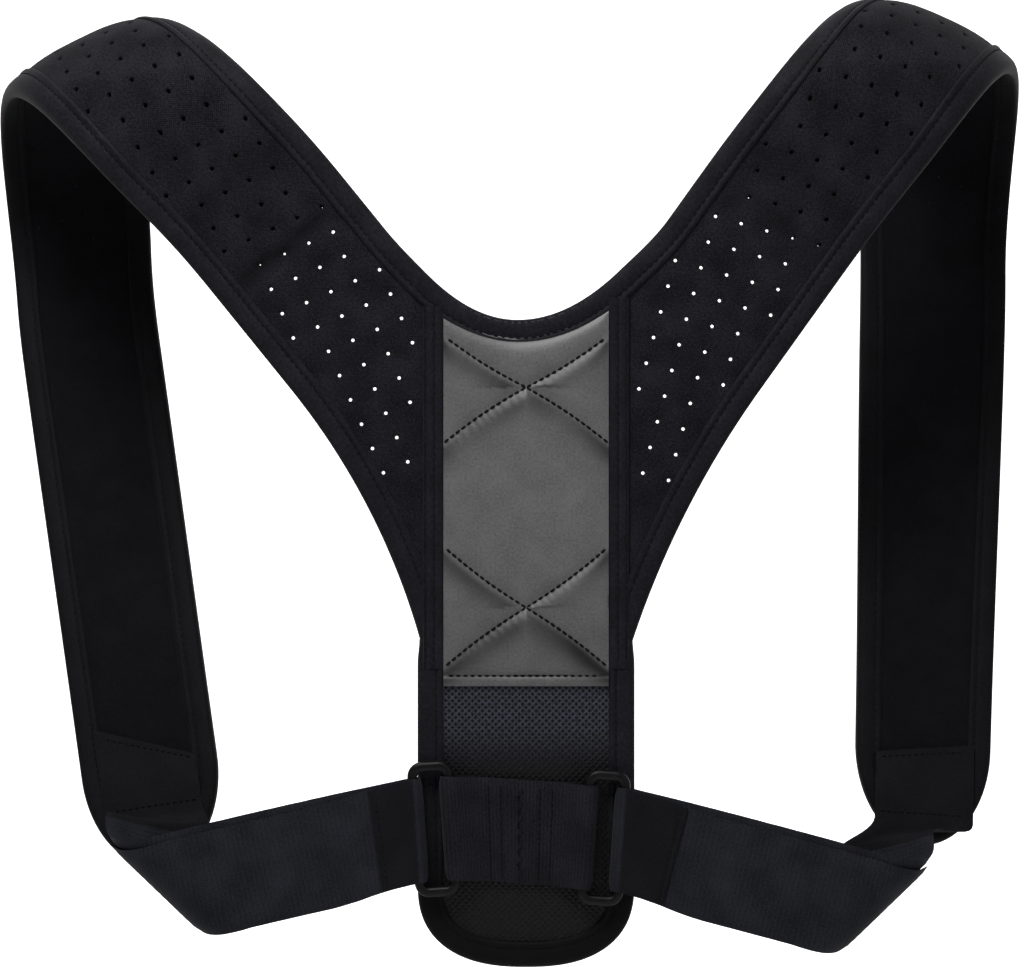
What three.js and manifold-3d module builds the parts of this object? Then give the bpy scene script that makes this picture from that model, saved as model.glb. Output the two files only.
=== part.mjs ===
// A posture corrector: a padded spine panel, two perforated shoulder pads that arch over the shoulders,
// and two elastic straps that run from the pad ends through ring buckles on the panel.
// X points to the wearer's right, Y to the wearer's front and Z up. The origin lies on the panel's
// inner face, on the spine line. Lengths are in millimetres and angles in degrees.

import * as THREE from 'three';
import Module from 'manifold-3d';
import { mergeVertices } from 'three/addons/utils/BufferGeometryUtils.js';

// Clearance between touching pieces
const gap = 0.3;

// Spine panel
const panelWidth = 95;
const neckHeight = 75.2;
const neckLean = 0.04;
const panelDrop = 213;
const panelEndRound = 36;
const foamThickness = 4.5;
const seamInset = 3.5;
const seamDrop = 75;

// Tapes
const bindingWidth = 10;
const tapeThickness = 0.9;
const seamTapeWidth = 9;

// Quilted patch
const patchThickness = 1.3;
const patchDrop = 87.8;
const quiltDepth = 0.6;

// Shoulder pads
const padWidth = 75.8;
const archRadius = 60;
const archTurn = 197;
const archReach = 202;
const frontLength = 306;
const padEndRound = 46;
const padCrown = 9;
const crownLean = 0.3;
const crownPower = 3;
const crownSpan = 0.72;
const flareStart = 50;
const neckBlend = 30;

// Perforations, every second one of the real grid each way
const holeDiameter = 2.6;
const holePitch = 24;
const holeGridTurn = -17;
const holeSides = 6;

// Ring buckles
const ringWidth = 20.5;
const ringHeight = 60.5;
const ringBar = 4.5;
const ringLean = 4;
const ringCorner = 0.8;

// Webbing and elastic
const webbingWidth = 46.5;
const webbingThickness = 1.8;
const strapFoldRadius = 17;
const strapSewnLength = 34;
const strapFreeLength = 26;
const strapOverLength = 142;
const strapOverSlip = 3.2;

// The two sides differ a little, as the worn straps lie. Lengths are shares of the sizes above:
// neckRise and rootHeight of neckHeight, archReach and foldReach of archReach, frontTop and frontEnd of
// padWidth, frontLength of frontLength, ringOut of panelWidth, ringDrop of panelDrop and sewnPlace of
// padEndRound.
const sides = [
  {
    name: 'left', sign: -1, neckRise: 0.262, rootHeight: 0.42, padRise: 51, archSlope: 22.5, archReach: 0.998,
    archBend: 6, frontBend: 11, frontTop: 0.873, frontEnd: 0.823, frontLength: 1, ringOut: 0.433,
    ringDrop: 0.71, strapFall: 12.4, strapBend: 3, foldFacing: -46.2, foldReach: 1.12, sewnPlace: 0.5,
    sewnSlant: 24,
  },
  {
    name: 'right', sign: 1, neckRise: 0.315, rootHeight: 0.36, padRise: 54.4, archSlope: 20, archReach: 0.997,
    archBend: 3.2, frontBend: 3.4, frontTop: 0.93, frontEnd: 0.81, frontLength: 0.985, ringOut: 0.365,
    ringDrop: 0.729, strapFall: 14.5, strapBend: 2, foldFacing: -46, foldReach: 1.135, sewnPlace: 0.2,
    sewnSlant: 8,
  },
];

const radians = THREE.MathUtils.degToRad;
const lerp = THREE.MathUtils.lerp;
const smooth = (value, from, to) => THREE.MathUtils.smoothstep(value, from, to);

// A flat direction, x outward and z up, at an angle above the horizontal
const heading = (angle) => new THREE.Vector2(Math.cos(radians(angle)), Math.sin(radians(angle)));

// The same direction turned a quarter turn towards the armhole
const armward = (angle) => heading(angle - 90);

const steps = (count) => Array.from({ length: count + 1 }, (_, index) => index / count);

// Closed solid of a band: each section has two facing rows of points, a and b, joined from one section
// to the next. The ends are capped, or joined to each other in a loop. Four corners are split along their
// shorter diagonal, so that both faces of a bent wall break alike.
function bandSolid(sections, loop = false) {
  const row = sections[0].a.length;
  const ring = 2 * row;
  const points = sections.flatMap(({ a, b }) => [...a, ...[...b].reverse()]);
  const faces = [];
  const joins = loop ? sections.length : sections.length - 1;
  for (let section = 0; section < joins; section++) {
    const here = section * ring;
    const next = ((section + 1) % sections.length) * ring;
    for (let corner = 0; corner < ring; corner++) {
      const after = (corner + 1) % ring;
      const [p, q, r, t] = [here + corner, next + corner, next + after, here + after];
      if (points[p].distanceTo(points[r]) < points[q].distanceTo(points[t])) {
        faces.push([p, q, r], [p, r, t]);
      } else {
        faces.push([p, q, t], [q, r, t]);
      }
    }
  }
  if (!loop) {
    const last = (sections.length - 1) * ring;
    for (let corner = 0; corner < row - 1; corner++) {
      const facing = ring - 1 - corner;
      faces.push([corner, corner + 1, facing], [corner + 1, facing - 1, facing]);
      faces.push([last + corner, last + facing, last + corner + 1]);
      faces.push([last + corner + 1, last + facing, last + facing - 1]);
    }
  }
  const volume = faces.reduce((sum, [p, q, r]) => sum + points[p].dot(points[q].clone().cross(points[r])), 0);
  const geometry = new THREE.BufferGeometry().setFromPoints(points);
  geometry.setIndex((volume > 0 ? faces : faces.map(([p, q, r]) => [p, r, q])).flat());
  return geometry;
}

// A crease bends a flat sheet round a cylinder. The sheet's near face lies at depth 0 and h is the offset
// outward from it. "across" points over the crease, which starts at "reach" and turns by "turn".
function bendOver({ x, z }, h, crease) {
  const across = heading(crease.facing);
  const along = heading(crease.facing - 90);
  const v = x * across.x + z * across.y - crease.reach;
  const u = x * along.x + z * along.y;
  const outer = crease.radius + h;
  const angle = Math.min(Math.max(v / crease.radius, 0), radians(crease.turn));
  const flat = v - angle * crease.radius;
  const b = crease.reach + outer * Math.sin(angle) + flat * Math.cos(angle);
  const depth = crease.radius - outer * Math.cos(angle) + flat * Math.sin(angle);
  return new THREE.Vector3(u * along.x + b * across.x, depth, u * along.y + b * across.y);
}

const onSide = (side, point) => new THREE.Vector3(side.sign * point.x, point.y, point.z);

// Neckline of the foam at a place across the panel: a parabola on each side of the lowest point
const seamPlace = panelWidth / 2 - seamInset;
const neckLowest = -neckLean * panelWidth;
function neckline(x) {
  const side = x < neckLowest ? sides[0] : sides[1];
  const reach = side.sign * seamPlace - neckLowest;
  return neckHeight * (1 + side.neckRise * ((x - neckLowest) / reach) ** 2);
}

// Pad layout: the centre line in the flat, from its start on the seam, as points with headings
const padStep = 2;
const flareJoin = 110;
function padLayout(side) {
  const seamX = seamPlace + gap;
  const start = new THREE.Vector2(seamX, side.rootHeight * neckHeight);
  const reach = side.archReach * archReach;
  const across = heading(90 - side.archSlope);
  const along = heading(side.padRise);
  const archStart = (reach - start.dot(across)) / along.dot(across);
  const archLength = (radians(archTurn) * archRadius) / Math.cos(radians(90 - side.archSlope - side.padRise));
  const archEnd = archStart + archLength;
  const length = archEnd + side.frontLength * frontLength;
  const angleAt = (s) => side.padRise - side.archBend * smooth(s, archStart - archRadius, archStart)
    + side.frontBend * smooth(s, archEnd - archRadius, archEnd + archRadius);
  const line = [start];
  for (let s = 0; s < length + padStep; s += padStep) {
    line.push(line.at(-1).clone().addScaledVector(heading(angleAt(s + padStep / 2)), padStep));
  }
  const crease = { facing: 90 - side.archSlope, reach, radius: archRadius, turn: archTurn };
  return { side, seamX, start, archStart, archEnd, length, angleAt, line, crease };
}

// Flat place of a point s along the pad's centre line and t to its armhole side
function padFlat(pad, s, t) {
  const offset = armward(pad.angleAt(s)).multiplyScalar(t);
  if (s <= 0) {
    return pad.start.clone().addScaledVector(heading(pad.side.padRise), s).add(offset);
  }
  const index = Math.min(Math.floor(s / padStep), pad.line.length - 2);
  return pad.line[index].clone().lerp(pad.line[index + 1], s / padStep - index).add(offset);
}

// Half the foam's width along the pad, which narrows to the front and rounds off at its end
function padHalf(pad, s) {
  const { side, archStart, archEnd, length } = pad;
  const top = lerp(1, side.frontTop, smooth(s, archStart, archEnd));
  const half = (padWidth / 2) * lerp(top, side.frontEnd, smooth(s, archEnd, length));
  const past = Math.max(0, (s - (length - padEndRound)) / padEndRound);
  return half * Math.sqrt(Math.max(0, 1 - past ** 2));
}

// Point on the worn pad, h outward from its inner face. The pad is crowned most over the shoulder.
function padPoint(pad, s, t, h) {
  const middle = (pad.archStart + pad.archEnd) / 2;
  const weight = 1 - smooth(Math.abs(s - middle), archRadius, (pad.archEnd - pad.archStart) * crownSpan);
  const across = t / (padWidth / 2);
  const fullness = Math.max(0, 1 - Math.abs(across) ** crownPower);
  const crown = padCrown * weight * (1 - crownLean * across) * fullness;
  const flat = padFlat(pad, s, t);
  return onSide(pad.side, bendOver({ x: flat.x, z: flat.y }, h + crown, pad.crease));
}

// The pad's armhole edge flares in an arc down to the foot of the seam, its neck edge meets the neckline
function padEdges(pad) {
  const axis = heading(pad.side.padRise);
  const arm = armward(pad.side.padRise);
  const place = (x, z) => {
    const offset = new THREE.Vector2(x, z).sub(pad.start);
    return { s: offset.dot(axis), t: offset.dot(arm) };
  };
  const foot = place(pad.seamX, -seamDrop);
  const nape = place(pad.seamX, neckline(pad.side.sign * pad.seamX));
  const run = flareStart - foot.s;
  const rise = foot.t - padWidth / 2;
  const flareRadius = (run ** 2 + rise ** 2) / (2 * rise);
  const armT = (s) => {
    const back = Math.max(0, flareStart - s);
    return padHalf(pad, s) + flareRadius - Math.sqrt(flareRadius ** 2 - back ** 2);
  };
  const neckT = (s) => {
    const share = 1 - smooth(s, nape.s - neckBlend, nape.s + neckBlend);
    return -padHalf(pad, s) + 2 * share * (nape.t + padWidth / 2);
  };
  return { foot, nape, armT, neckT };
}

// Places between two ends, the first end left out
const stops = (from, to, count) => steps(count).slice(1).map((k) => lerp(from, to, k));

// Places along a pad between its flare and its round end, shared by the foam and its binding
function padStops(pad) {
  const roundStart = pad.length - padEndRound;
  return [
    ...stops(flareJoin, pad.archStart, 2), ...stops(pad.archStart, pad.archEnd, 12),
    ...stops(pad.archEnd, roundStart, 4),
  ];
}

// Places along the armhole edge from the foot of the seam to the end of its flare
const flareStops = (foot) => steps(7).map((k) => lerp(foot.s, flareJoin, k));

// The foam's cross sections fan out from the seam, then run square across, with a row of points under
// each inner edge of the binding
function padFoam(pad) {
  const { foot, nape, armT, neckT } = padEdges(pad);
  const fan = flareStops(foot).map((arm, index, { length }) => {
    return { arm, neck: lerp(nape.s, flareJoin, index / (length - 1)) };
  });
  const roundStart = pad.length - padEndRound;
  const end = stops(0, 1, 5).map((k) => roundStart + padEndRound * Math.sin(k * radians(88)));
  const square = [...padStops(pad), ...end].map((s) => ({ arm: s, neck: s }));
  return bandSolid([...fan, ...square].map(({ arm, neck }) => {
    const bound = Math.min(0.3, bindingWidth / (armT(arm) - neckT(neck)));
    const face = (h) => [0, bound, 0.5, 1 - bound, 1].map((k) => {
      return padPoint(pad, lerp(arm, neck, k), lerp(armT(arm), neckT(neck), k), h);
    });
    return { a: face(0), b: face(foamThickness) };
  }));
}

// Centres of the perforations that clear the bindings, on a square grid turned against the pad
function padHoles(pad) {
  const { armT, neckT } = padEdges(pad);
  const margin = bindingWidth + holeDiameter;
  const turn = radians(holeGridTurn);
  const reach = Math.ceil(pad.length / holePitch);
  const holes = [];
  for (let row = -reach; row <= reach; row++) {
    for (let column = -reach; column <= reach; column++) {
      const s = flareJoin + holePitch * (row * Math.cos(turn) - column * Math.sin(turn));
      const t = holePitch * (row * Math.sin(turn) + column * Math.cos(turn));
      const clearOfSeam = padFlat(pad, s, t).x > pad.seamX + margin;
      const clearOfEdges = t < armT(s) - margin && t > neckT(s) + margin;
      if (clearOfSeam && clearOfEdges && s < pad.length - padEndRound / 2) {
        holes.push({ s, t });
      }
    }
  }
  return holes;
}

// A binding is a tape folded over an edge: its section runs in on one face, round and back on the other.
// "edge" gives each station's place and inward direction, "place" puts a flat point and an offset in space.
function bindingSolid(edge, place) {
  const inner = foamThickness + gap;
  const outer = inner + tapeThickness;
  const side = gap + tapeThickness;
  return bandSolid(edge.map((station) => {
    const at = (inward, h) => place(station, inward, h);
    return {
      a: [at(station.reach, -side), at(-side, -side), at(-side, outer), at(station.reach, outer)],
      b: [at(station.reach, -gap), at(-gap, -gap), at(-gap, inner), at(station.reach, inner)],
    };
  }));
}

// Inward directions square to an open chain of flat edge points, all to the same hand
function withInward(chain, hand) {
  return chain.map((point, index) => {
    const before = chain[Math.max(0, index - 1)];
    const after = chain[Math.min(chain.length - 1, index + 1)];
    const along = after.clone().sub(before).normalize();
    return { point, inward: new THREE.Vector2(-along.y, along.x).multiplyScalar(hand), reach: bindingWidth };
  });
}

// The pad's binding runs up the armhole edge, over the shoulder, round the end and back to the neckline
function padBinding(pad) {
  const { foot, nape, armT, neckT } = padEdges(pad);
  const roundStart = pad.length - padEndRound;
  const tapeEdge = panelWidth / 2 - tapeThickness + gap;
  const nearNeck = steps(4).map((k) => lerp(flareJoin, nape.s + gap, k));
  const round = stops(0, Math.PI, 12).slice(0, -1).map((angle) => new THREE.Vector2(
    roundStart + padEndRound * Math.sin(angle), padHalf(pad, roundStart) * Math.cos(angle),
  ));
  const armPoint = (s) => new THREE.Vector2(s, armT(s));
  const neckPoint = (s) => new THREE.Vector2(s, neckT(s));
  const flare = flareStops(foot).map(armPoint);
  const clearOfFoot = bindingWidth / (flare[1].x - flare[0].x);
  flare[0].lerp(flare[1], clearOfFoot);
  const chain = [
    ...flare, ...padStops(pad).map(armPoint), ...round,
    ...padStops(pad).reverse().map(neckPoint), ...nearNeck.map(neckPoint),
  ];
  const edge = withInward(chain, -1);
  for (const station of edge) {
    const { point, inward } = station;
    const overShoulder = point.x > flareJoin && point.x < pad.archEnd + 1;
    if (overShoulder) {
      inward.set(0, -Math.sign(point.y));
    }
    const outward = armward(pad.side.padRise).x * inward.y + heading(pad.side.padRise).x * inward.x;
    if (point.x < flareJoin && outward < 0) {
      const room = padFlat(pad, point.x, point.y).x - tapeEdge;
      station.reach = Math.min(bindingWidth, Math.max(gap, room / -outward));
    }
  }
  return bindingSolid(edge, ({ point, inward }, distance, h) => {
    const flat = point.clone().addScaledVector(inward, distance);
    return padPoint(pad, flat.x, flat.y, h);
  });
}

// A flat point of the panel, h outward from its inner face
const panelPoint = (x, z, h) => new THREE.Vector3(x, -h, z);

// Half width of the panel's foam at a height, with the round bottom end as a superellipse
const endPower = 2.45;
function panelHalf(z) {
  const past = Math.max(0, -(z + panelDrop - panelEndRound)) / panelEndRound;
  return (panelWidth / 2) * Math.max(0, 1 - past ** endPower) ** (1 / endPower);
}

function panelFoam() {
  const slices = steps(10).map((k) => lerp(-seamPlace, seamPlace, k));
  const endStart = panelEndRound - panelDrop;
  const round = stops(0, 1, 8).map((k) => endStart - panelEndRound * Math.sin(k * radians(89)));
  const levels = [-seamDrop - 2 * gap, endStart, ...round];
  const rows = [slices.map((x) => [x, neckline(x)]), slices.map((x) => [x, -seamDrop - gap])];
  for (const z of levels) {
    rows.push(slices.map((x) => [(x / seamPlace) * panelHalf(z), z]));
  }
  return bandSolid(rows.map((row) => ({
    a: row.map(([x, z]) => panelPoint(x, z, 0)),
    b: row.map(([x, z]) => panelPoint(x, z, foamThickness)),
  })));
}

function panelBinding() {
  const top = -seamDrop - bindingWidth / 2;
  const endStart = panelEndRound - panelDrop;
  const chain = [top, lerp(top, endStart, 0.5), endStart].map((z) => new THREE.Vector2(-panelHalf(z), z));
  for (const k of steps(24).slice(1, -1)) {
    const angle = Math.PI * (1 - k);
    const share = (value) => Math.sign(value) * Math.abs(value) ** (2 / endPower);
    const x = (panelWidth / 2) * share(Math.cos(angle));
    chain.push(new THREE.Vector2(x, endStart - panelEndRound * share(Math.sin(angle))));
  }
  chain.push(...[endStart, lerp(endStart, top, 0.5), top].map((z) => new THREE.Vector2(panelHalf(z), z)));
  return bindingSolid(withInward(chain, 1), ({ point, inward }, distance, h) => {
    const flat = point.clone().addScaledVector(inward, distance);
    return panelPoint(flat.x, flat.y, h);
  });
}

function neckBinding() {
  const reach = seamPlace;
  const chain = steps(16).map((k) => {
    const x = lerp(-reach, reach, k);
    return new THREE.Vector2(x, neckline(x));
  });
  return bindingSolid(withInward(chain, -1), ({ point, inward }, distance, h) => {
    const flat = point.clone().addScaledVector(inward, distance);
    return panelPoint(flat.x, flat.y, h);
  });
}

// A tape of even thickness on the outer face, from a list of flat left and right edge points
function faceTape(rows, lift, thickness) {
  return bandSolid(rows.map((row) => ({
    a: row.map(([x, z]) => panelPoint(x, z, lift)),
    b: row.map(([x, z]) => panelPoint(x, z, lift + thickness)),
  })));
}

// Lower edge of the neckline's binding, where tapes and patch begin
function underNeck(x) {
  const side = x < neckLowest ? sides[0] : sides[1];
  const reach = side.sign * seamPlace - neckLowest;
  const slope = (2 * neckHeight * side.neckRise * (x - neckLowest)) / reach ** 2;
  return neckline(x) - bindingWidth * Math.hypot(1, slope) - 2 * gap;
}

function seamTape(side) {
  const outer = seamPlace + 2 * gap + tapeThickness;
  const inner = outer - seamTapeWidth;
  const foot = -seamDrop - bindingWidth / 2 + gap + tapeThickness;
  const level = (x, share) => lerp(underNeck(side.sign * x), foot, share);
  const row = (share) => [outer, inner].map((x) => [side.sign * x, level(x, share)]);
  return faceTape(steps(4).map(row), foamThickness + gap, tapeThickness);
}

function backPatch() {
  const half = seamPlace + gap + tapeThickness - seamTapeWidth;
  const rows = steps(8).map((down) => steps(10).map((k) => {
    const x = lerp(-half, half, k);
    return [x, lerp(underNeck(x), -patchDrop, down)];
  }));
  const lift = foamThickness + gap;
  return bandSolid(rows.map((row, index) => ({
    a: row.map(([x, z]) => panelPoint(x, z, lift)),
    b: row.map(([x, z]) => {
      const across = Math.sin((Math.PI * (x + half)) / (2 * half));
      const puff = quiltDepth * across * Math.sin((Math.PI * index) / 8);
      return panelPoint(x, z, lift + patchThickness + puff);
    }),
  })));
}

// Ring buckle: its opening holds the webbing, its plane stands off the panel by what passes behind it
const bar = ringBar / 2;
const webbingBase = foamThickness + 2 * gap + tapeThickness;
const ringPlane = webbingBase + webbingThickness + gap + bar;
const ringSpan = ringWidth - ringBar;

function ringFrame(side) {
  const centre = new THREE.Vector2(side.ringOut * panelWidth, -side.ringDrop * panelDrop);
  const up = heading(90 - ringLean);
  const out = armward(90 - ringLean);
  return { centre, up, out };
}

function ringSolid(side) {
  const { centre, up, out } = ringFrame(side);
  const halfWide = ringSpan / 2;
  const halfHigh = (ringHeight - ringBar) / 2;
  const corner = ringBar * ringCorner;
  const corners = [[1, 1, 0], [-1, 1, 90], [-1, -1, 180], [1, -1, 270]];
  const path = corners.flatMap(([right, top, from]) => steps(3).map((k) => {
    const turn = heading(from + 90 * k);
    return {
      x: right * (halfWide - corner) + corner * turn.x, z: top * (halfHigh - corner) + corner * turn.y, turn,
    };
  }));
  const sections = path.map(({ x, z, turn }) => {
    const point = (angle) => {
      const away = bar * Math.cos(radians(angle));
      const flat = centre.clone().addScaledVector(out, x + away * turn.x);
      flat.addScaledVector(up, z + away * turn.y);
      return onSide(side, new THREE.Vector3(flat.x, -(ringPlane + bar * Math.sin(radians(angle))), flat.y));
    };
    return { a: [-22.5, 22.5, 67.5, 112.5].map(point), b: [292.5, 247.5, 202.5, 157.5].map(point) };
  });
  return bandSolid(sections, true);
}

// Keeper webbing: one band round the inner bars of both rings, its ends meeting under its top layer
function keeperWebbing() {
  const bars = sides.map((side) => {
    const { centre, up, out } = ringFrame(side);
    const place = centre.clone().addScaledVector(out, -ringSpan / 2);
    return { x: side.sign * place.x, z: place.y, lean: new THREE.Vector2(side.sign * up.x, up.y) };
  });
  const wrap = bar + gap;
  const lower = foamThickness + gap;
  const upper = lower + webbingThickness + gap;
  const stations = [];
  const between = (k) => {
    const lean = bars[0].lean.clone().lerp(bars[1].lean, k);
    return { x: lerp(bars[0].x, bars[1].x, k), z: lerp(bars[0].z, bars[1].z, k), lean };
  };
  const flat = (k, level) =>
    stations.push({ ...between(k), inner: [0, level], outer: [0, level + webbingThickness] });
  const loop = (k, hand) => {
    for (const turn of steps(6)) {
      const angle = radians(180 * turn - 90);
      const arm = (radius) => [hand * radius * Math.cos(angle), ringPlane + radius * Math.sin(angle)];
      stations.push({ ...between(k), inner: arm(wrap + webbingThickness), outer: arm(wrap) });
    }
  };
  flat(0.49, lower);
  flat(0.25, lower);
  loop(0, -1);
  for (const k of [0.25, 0.75]) {
    stations.push({ ...between(k), inner: [0, upper + webbingThickness], outer: [0, upper] });
  }
  const back = stations.length;
  loop(1, 1);
  stations.splice(back, 7, ...stations.slice(back).reverse());
  flat(0.75, lower);
  flat(0.51, lower);
  return bandSolid(stations.map(({ x, z, lean, inner, outer }) => {
    const edge = (end, [shift, level]) => {
      const reach = (end * webbingWidth) / 2;
      return panelPoint(x + shift + lean.x * reach, z + lean.y * reach, level);
    };
    return { a: [edge(-1, inner), edge(1, inner)], b: [edge(-1, outer), edge(1, outer)] };
  }));
}

// Elastic strap: sewn inside the pad's end, folded under the arm, through the ring and back on itself.
// Its sections lie at these shares of the near run, counted from the ring, and of the returned layer.
const nearStops = [0.6, 0.3, 0.12];
const overStops = [0.05, 0.1, 0.16, 0.3, 0.42, 0.53, 0.62, 0.7, 0.76, 0.82, 0.88, 0.94, 1];
function strapSolid(pad) {
  const { side } = pad;
  const { centre, up, out } = ringFrame(side);
  const root = centre.clone().addScaledVector(out, ringSpan / 2);
  const half = webbingWidth / 2;
  const foldReach = side.foldReach * archReach;
  const angleAt = (s) => -side.strapFall - side.strapBend * smooth(s, 0, foldReach);
  const line = [root];
  for (let s = 0; s < 2 * foldReach; s += padStep) {
    line.push(line.at(-1).clone().addScaledVector(heading(angleAt(s)), padStep));
  }
  const flatPoint = (s, t) => {
    const index = Math.min(Math.floor(s / padStep), line.length - 2);
    const square = heading(angleAt(s) + 90);
    const tilt = up.clone().lerp(square, smooth(s, 0, webbingWidth)).normalize();
    return line[index].clone().lerp(line[index + 1], s / padStep - index).addScaledVector(tilt, t);
  };
  const fold = { facing: side.foldFacing, reach: foldReach, radius: strapFoldRadius, turn: 168 };
  const across = heading(side.foldFacing);
  const foldStart = (foldReach - root.dot(across)) / heading(angleAt(foldReach / 2)).dot(across);
  const skew = heading(angleAt(foldStart)).dot(across);
  const foldEnd = foldStart + (radians(fold.turn) * strapFoldRadius) / skew;
  const worn = (s, t, h) => {
    const point = bendOver({ x: flatPoint(s, t).x, z: flatPoint(s, t).y }, h, fold);
    return onSide(side, point.add(new THREE.Vector3(0, -webbingBase, 0)));
  };
  const sewnFoot = pad.length - side.sewnPlace * padEndRound;
  const sunk = 3 * gap + tapeThickness + webbingThickness;
  const onPad = (rise, t, h) => padPoint(pad, sewnFoot - rise, t, h - sunk);
  const slant = Math.tan(radians(side.sewnSlant));
  const stations = [];
  const add = (place) => stations.push(place);
  for (const k of steps(3)) {
    add((t, q) => onPad((strapSewnLength + slant * t) * (1 - k), t, webbingThickness * q));
  }
  for (const k of steps(5).slice(1, -1)) {
    const share = smooth(k, 0, 1);
    add((t, q) => {
      const h = webbingThickness * q;
      const near = worn(foldEnd + strapFreeLength * (1 - k), t, h);
      return onPad(-strapFreeLength * k, t, h).lerp(near, share);
    });
  }
  const flatEnd = foldStart - half;
  const near = [...steps(10).map((k) => lerp(foldEnd, flatEnd, k)), ...nearStops.map((k) => k * flatEnd)];
  for (const s of near) {
    add((t, q) => worn(s, t, webbingThickness * q));
  }
  const wrap = bar + gap;
  for (const k of steps(6)) {
    add((t, q) => {
      const angle = Math.PI * k;
      const radius = wrap + webbingThickness * (1 - q);
      const flat = root.clone().addScaledVector(up, t).addScaledVector(out, -radius * Math.sin(angle));
      return onSide(side, new THREE.Vector3(flat.x, -(ringPlane - radius * Math.cos(angle)), flat.y));
    });
  }
  const lift = (s) =>
    lerp(2 * wrap + webbingThickness, webbingThickness + gap, smooth(s, 0, webbingWidth / 2));
  for (const s of overStops.map((k) => k * strapOverLength)) {
    const slip = strapOverSlip * smooth(s, 0, webbingWidth);
    add((t, q) => worn(s, t - slip, lift(s) + webbingThickness * (1 - q)));
  }
  return bandSolid(stations.map((place) => {
    const face = (q) => steps(3).map((k) => place(lerp(-half, half, k), q));
    return { a: face(0), b: face(1) };
  }));
}

// Holes are cut out of the pads
const wasm = await Module();
wasm.setup();

function toManifold(geometry) {
  const bare = geometry.clone();
  bare.deleteAttribute('normal');
  bare.deleteAttribute('uv');
  const merged = mergeVertices(bare);
  return new wasm.Manifold(new wasm.Mesh({
    numProp: 3,
    vertProperties: new Float32Array(merged.attributes.position.array),
    triVerts: new Uint32Array(merged.index.array),
  }));
}

function perforated(pad) {
  let solid = toManifold(padFoam(pad));
  const drill = new THREE.CylinderGeometry(holeDiameter / 2, holeDiameter / 2, 3 * foamThickness, holeSides);
  for (const { s, t } of padHoles(pad)) {
    const inner = padPoint(pad, s, t, 0);
    const outer = padPoint(pad, s, t, foamThickness);
    const turn = new THREE.Quaternion().setFromUnitVectors(
      new THREE.Vector3(0, 1, 0), outer.clone().sub(inner).normalize(),
    );
    const middle = inner.lerp(outer, 0.5);
    const place = new THREE.Matrix4().compose(middle, turn, new THREE.Vector3(1, 1, 1));
    solid = solid.subtract(toManifold(drill.clone().applyMatrix4(place)));
  }
  const { vertProperties, triVerts } = solid.getMesh();
  const geometry = new THREE.BufferGeometry();
  geometry.setAttribute('position', new THREE.BufferAttribute(new Float32Array(vertProperties), 3));
  geometry.setIndex([...triVerts]);
  return geometry;
}

const materials = {
  mesh: { color: 0x1d1f24, roughness: 0.85 },
  patch: { color: 0x5f6063, roughness: 0.55 },
  pad: { color: 0x2b2d33, roughness: 0.9 },
  tape: { color: 0x24262b, roughness: 0.8 },
  webbing: { color: 0x17181b, roughness: 0.9 },
  plastic: { color: 0x101114, roughness: 0.35 },
};

const postureCorrector = new THREE.Group();

function addPiece(name, geometry, finish) {
  const material = new THREE.MeshStandardMaterial({ ...materials[finish], metalness: 0 });
  const mesh = new THREE.Mesh(geometry, material);
  mesh.name = name;
  postureCorrector.add(mesh);
}

addPiece('back_panel', panelFoam(), 'mesh');
addPiece('back_patch', backPatch(), 'patch');
addPiece('panel_binding', panelBinding(), 'tape');
addPiece('neck_binding', neckBinding(), 'tape');
addPiece('keeper_webbing', keeperWebbing(), 'webbing');

for (const side of sides) {
  const pad = padLayout(side);
  addPiece(`${side.name}_seam_tape`, seamTape(side), 'tape');
  addPiece(`${side.name}_pad`, perforated(pad), 'pad');
  addPiece(`${side.name}_pad_binding`, padBinding(pad), 'tape');
  addPiece(`${side.name}_ring`, ringSolid(side), 'plastic');
  addPiece(`${side.name}_strap`, strapSolid(pad), 'webbing');
}

export default postureCorrector;
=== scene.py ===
"""Dresses a posture corrector, as worn and seen from behind, in its cloth, tape, stitching and plastic.

Each sub-assembly is a class that holds its sizes in millimetres. The soft pieces are planned flat, as their
cloth was cut, and then carried over the shoulder by the same bend that the solids follow. Every point keeps
its place on the flat cloth in the attribute "cloth", so that each weave runs with its own piece, and its
painted shade in the attribute "shade", which darkens the colour towards black.
"""

import logging
import math
from collections import Counter
from dataclasses import dataclass
from enum import Enum
from typing import Callable, Sequence

import bpy
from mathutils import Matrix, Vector, noise
from mathutils.geometry import delaunay_2d_cdt


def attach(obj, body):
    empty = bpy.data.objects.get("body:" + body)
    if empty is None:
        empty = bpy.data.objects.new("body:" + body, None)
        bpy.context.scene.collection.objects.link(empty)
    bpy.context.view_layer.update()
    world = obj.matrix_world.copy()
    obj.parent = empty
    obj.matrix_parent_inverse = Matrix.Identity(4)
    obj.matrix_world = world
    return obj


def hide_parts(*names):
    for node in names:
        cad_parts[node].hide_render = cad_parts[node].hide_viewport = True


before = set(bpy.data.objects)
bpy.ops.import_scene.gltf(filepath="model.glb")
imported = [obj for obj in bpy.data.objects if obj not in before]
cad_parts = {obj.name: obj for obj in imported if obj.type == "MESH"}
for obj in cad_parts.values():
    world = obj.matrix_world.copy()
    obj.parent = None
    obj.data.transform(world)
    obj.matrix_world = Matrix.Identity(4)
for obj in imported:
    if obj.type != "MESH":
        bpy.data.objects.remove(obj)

LOG = logging.getLogger("posture_corrector")
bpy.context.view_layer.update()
MM = 0.001
CLOTH = "cloth"
# Point attribute of painted shade: 0 keeps the colour, 1 paints it black.
SHADE = "shade"
OUTWARD = Vector((0, -1, 0))

Flat = tuple[float, float]
Point = tuple[float, float, float]


def lerp(start: float, end: float, share: float) -> float:
    """Returns the value a share of the way from start to end."""
    return start + (end - start) * share


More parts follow.
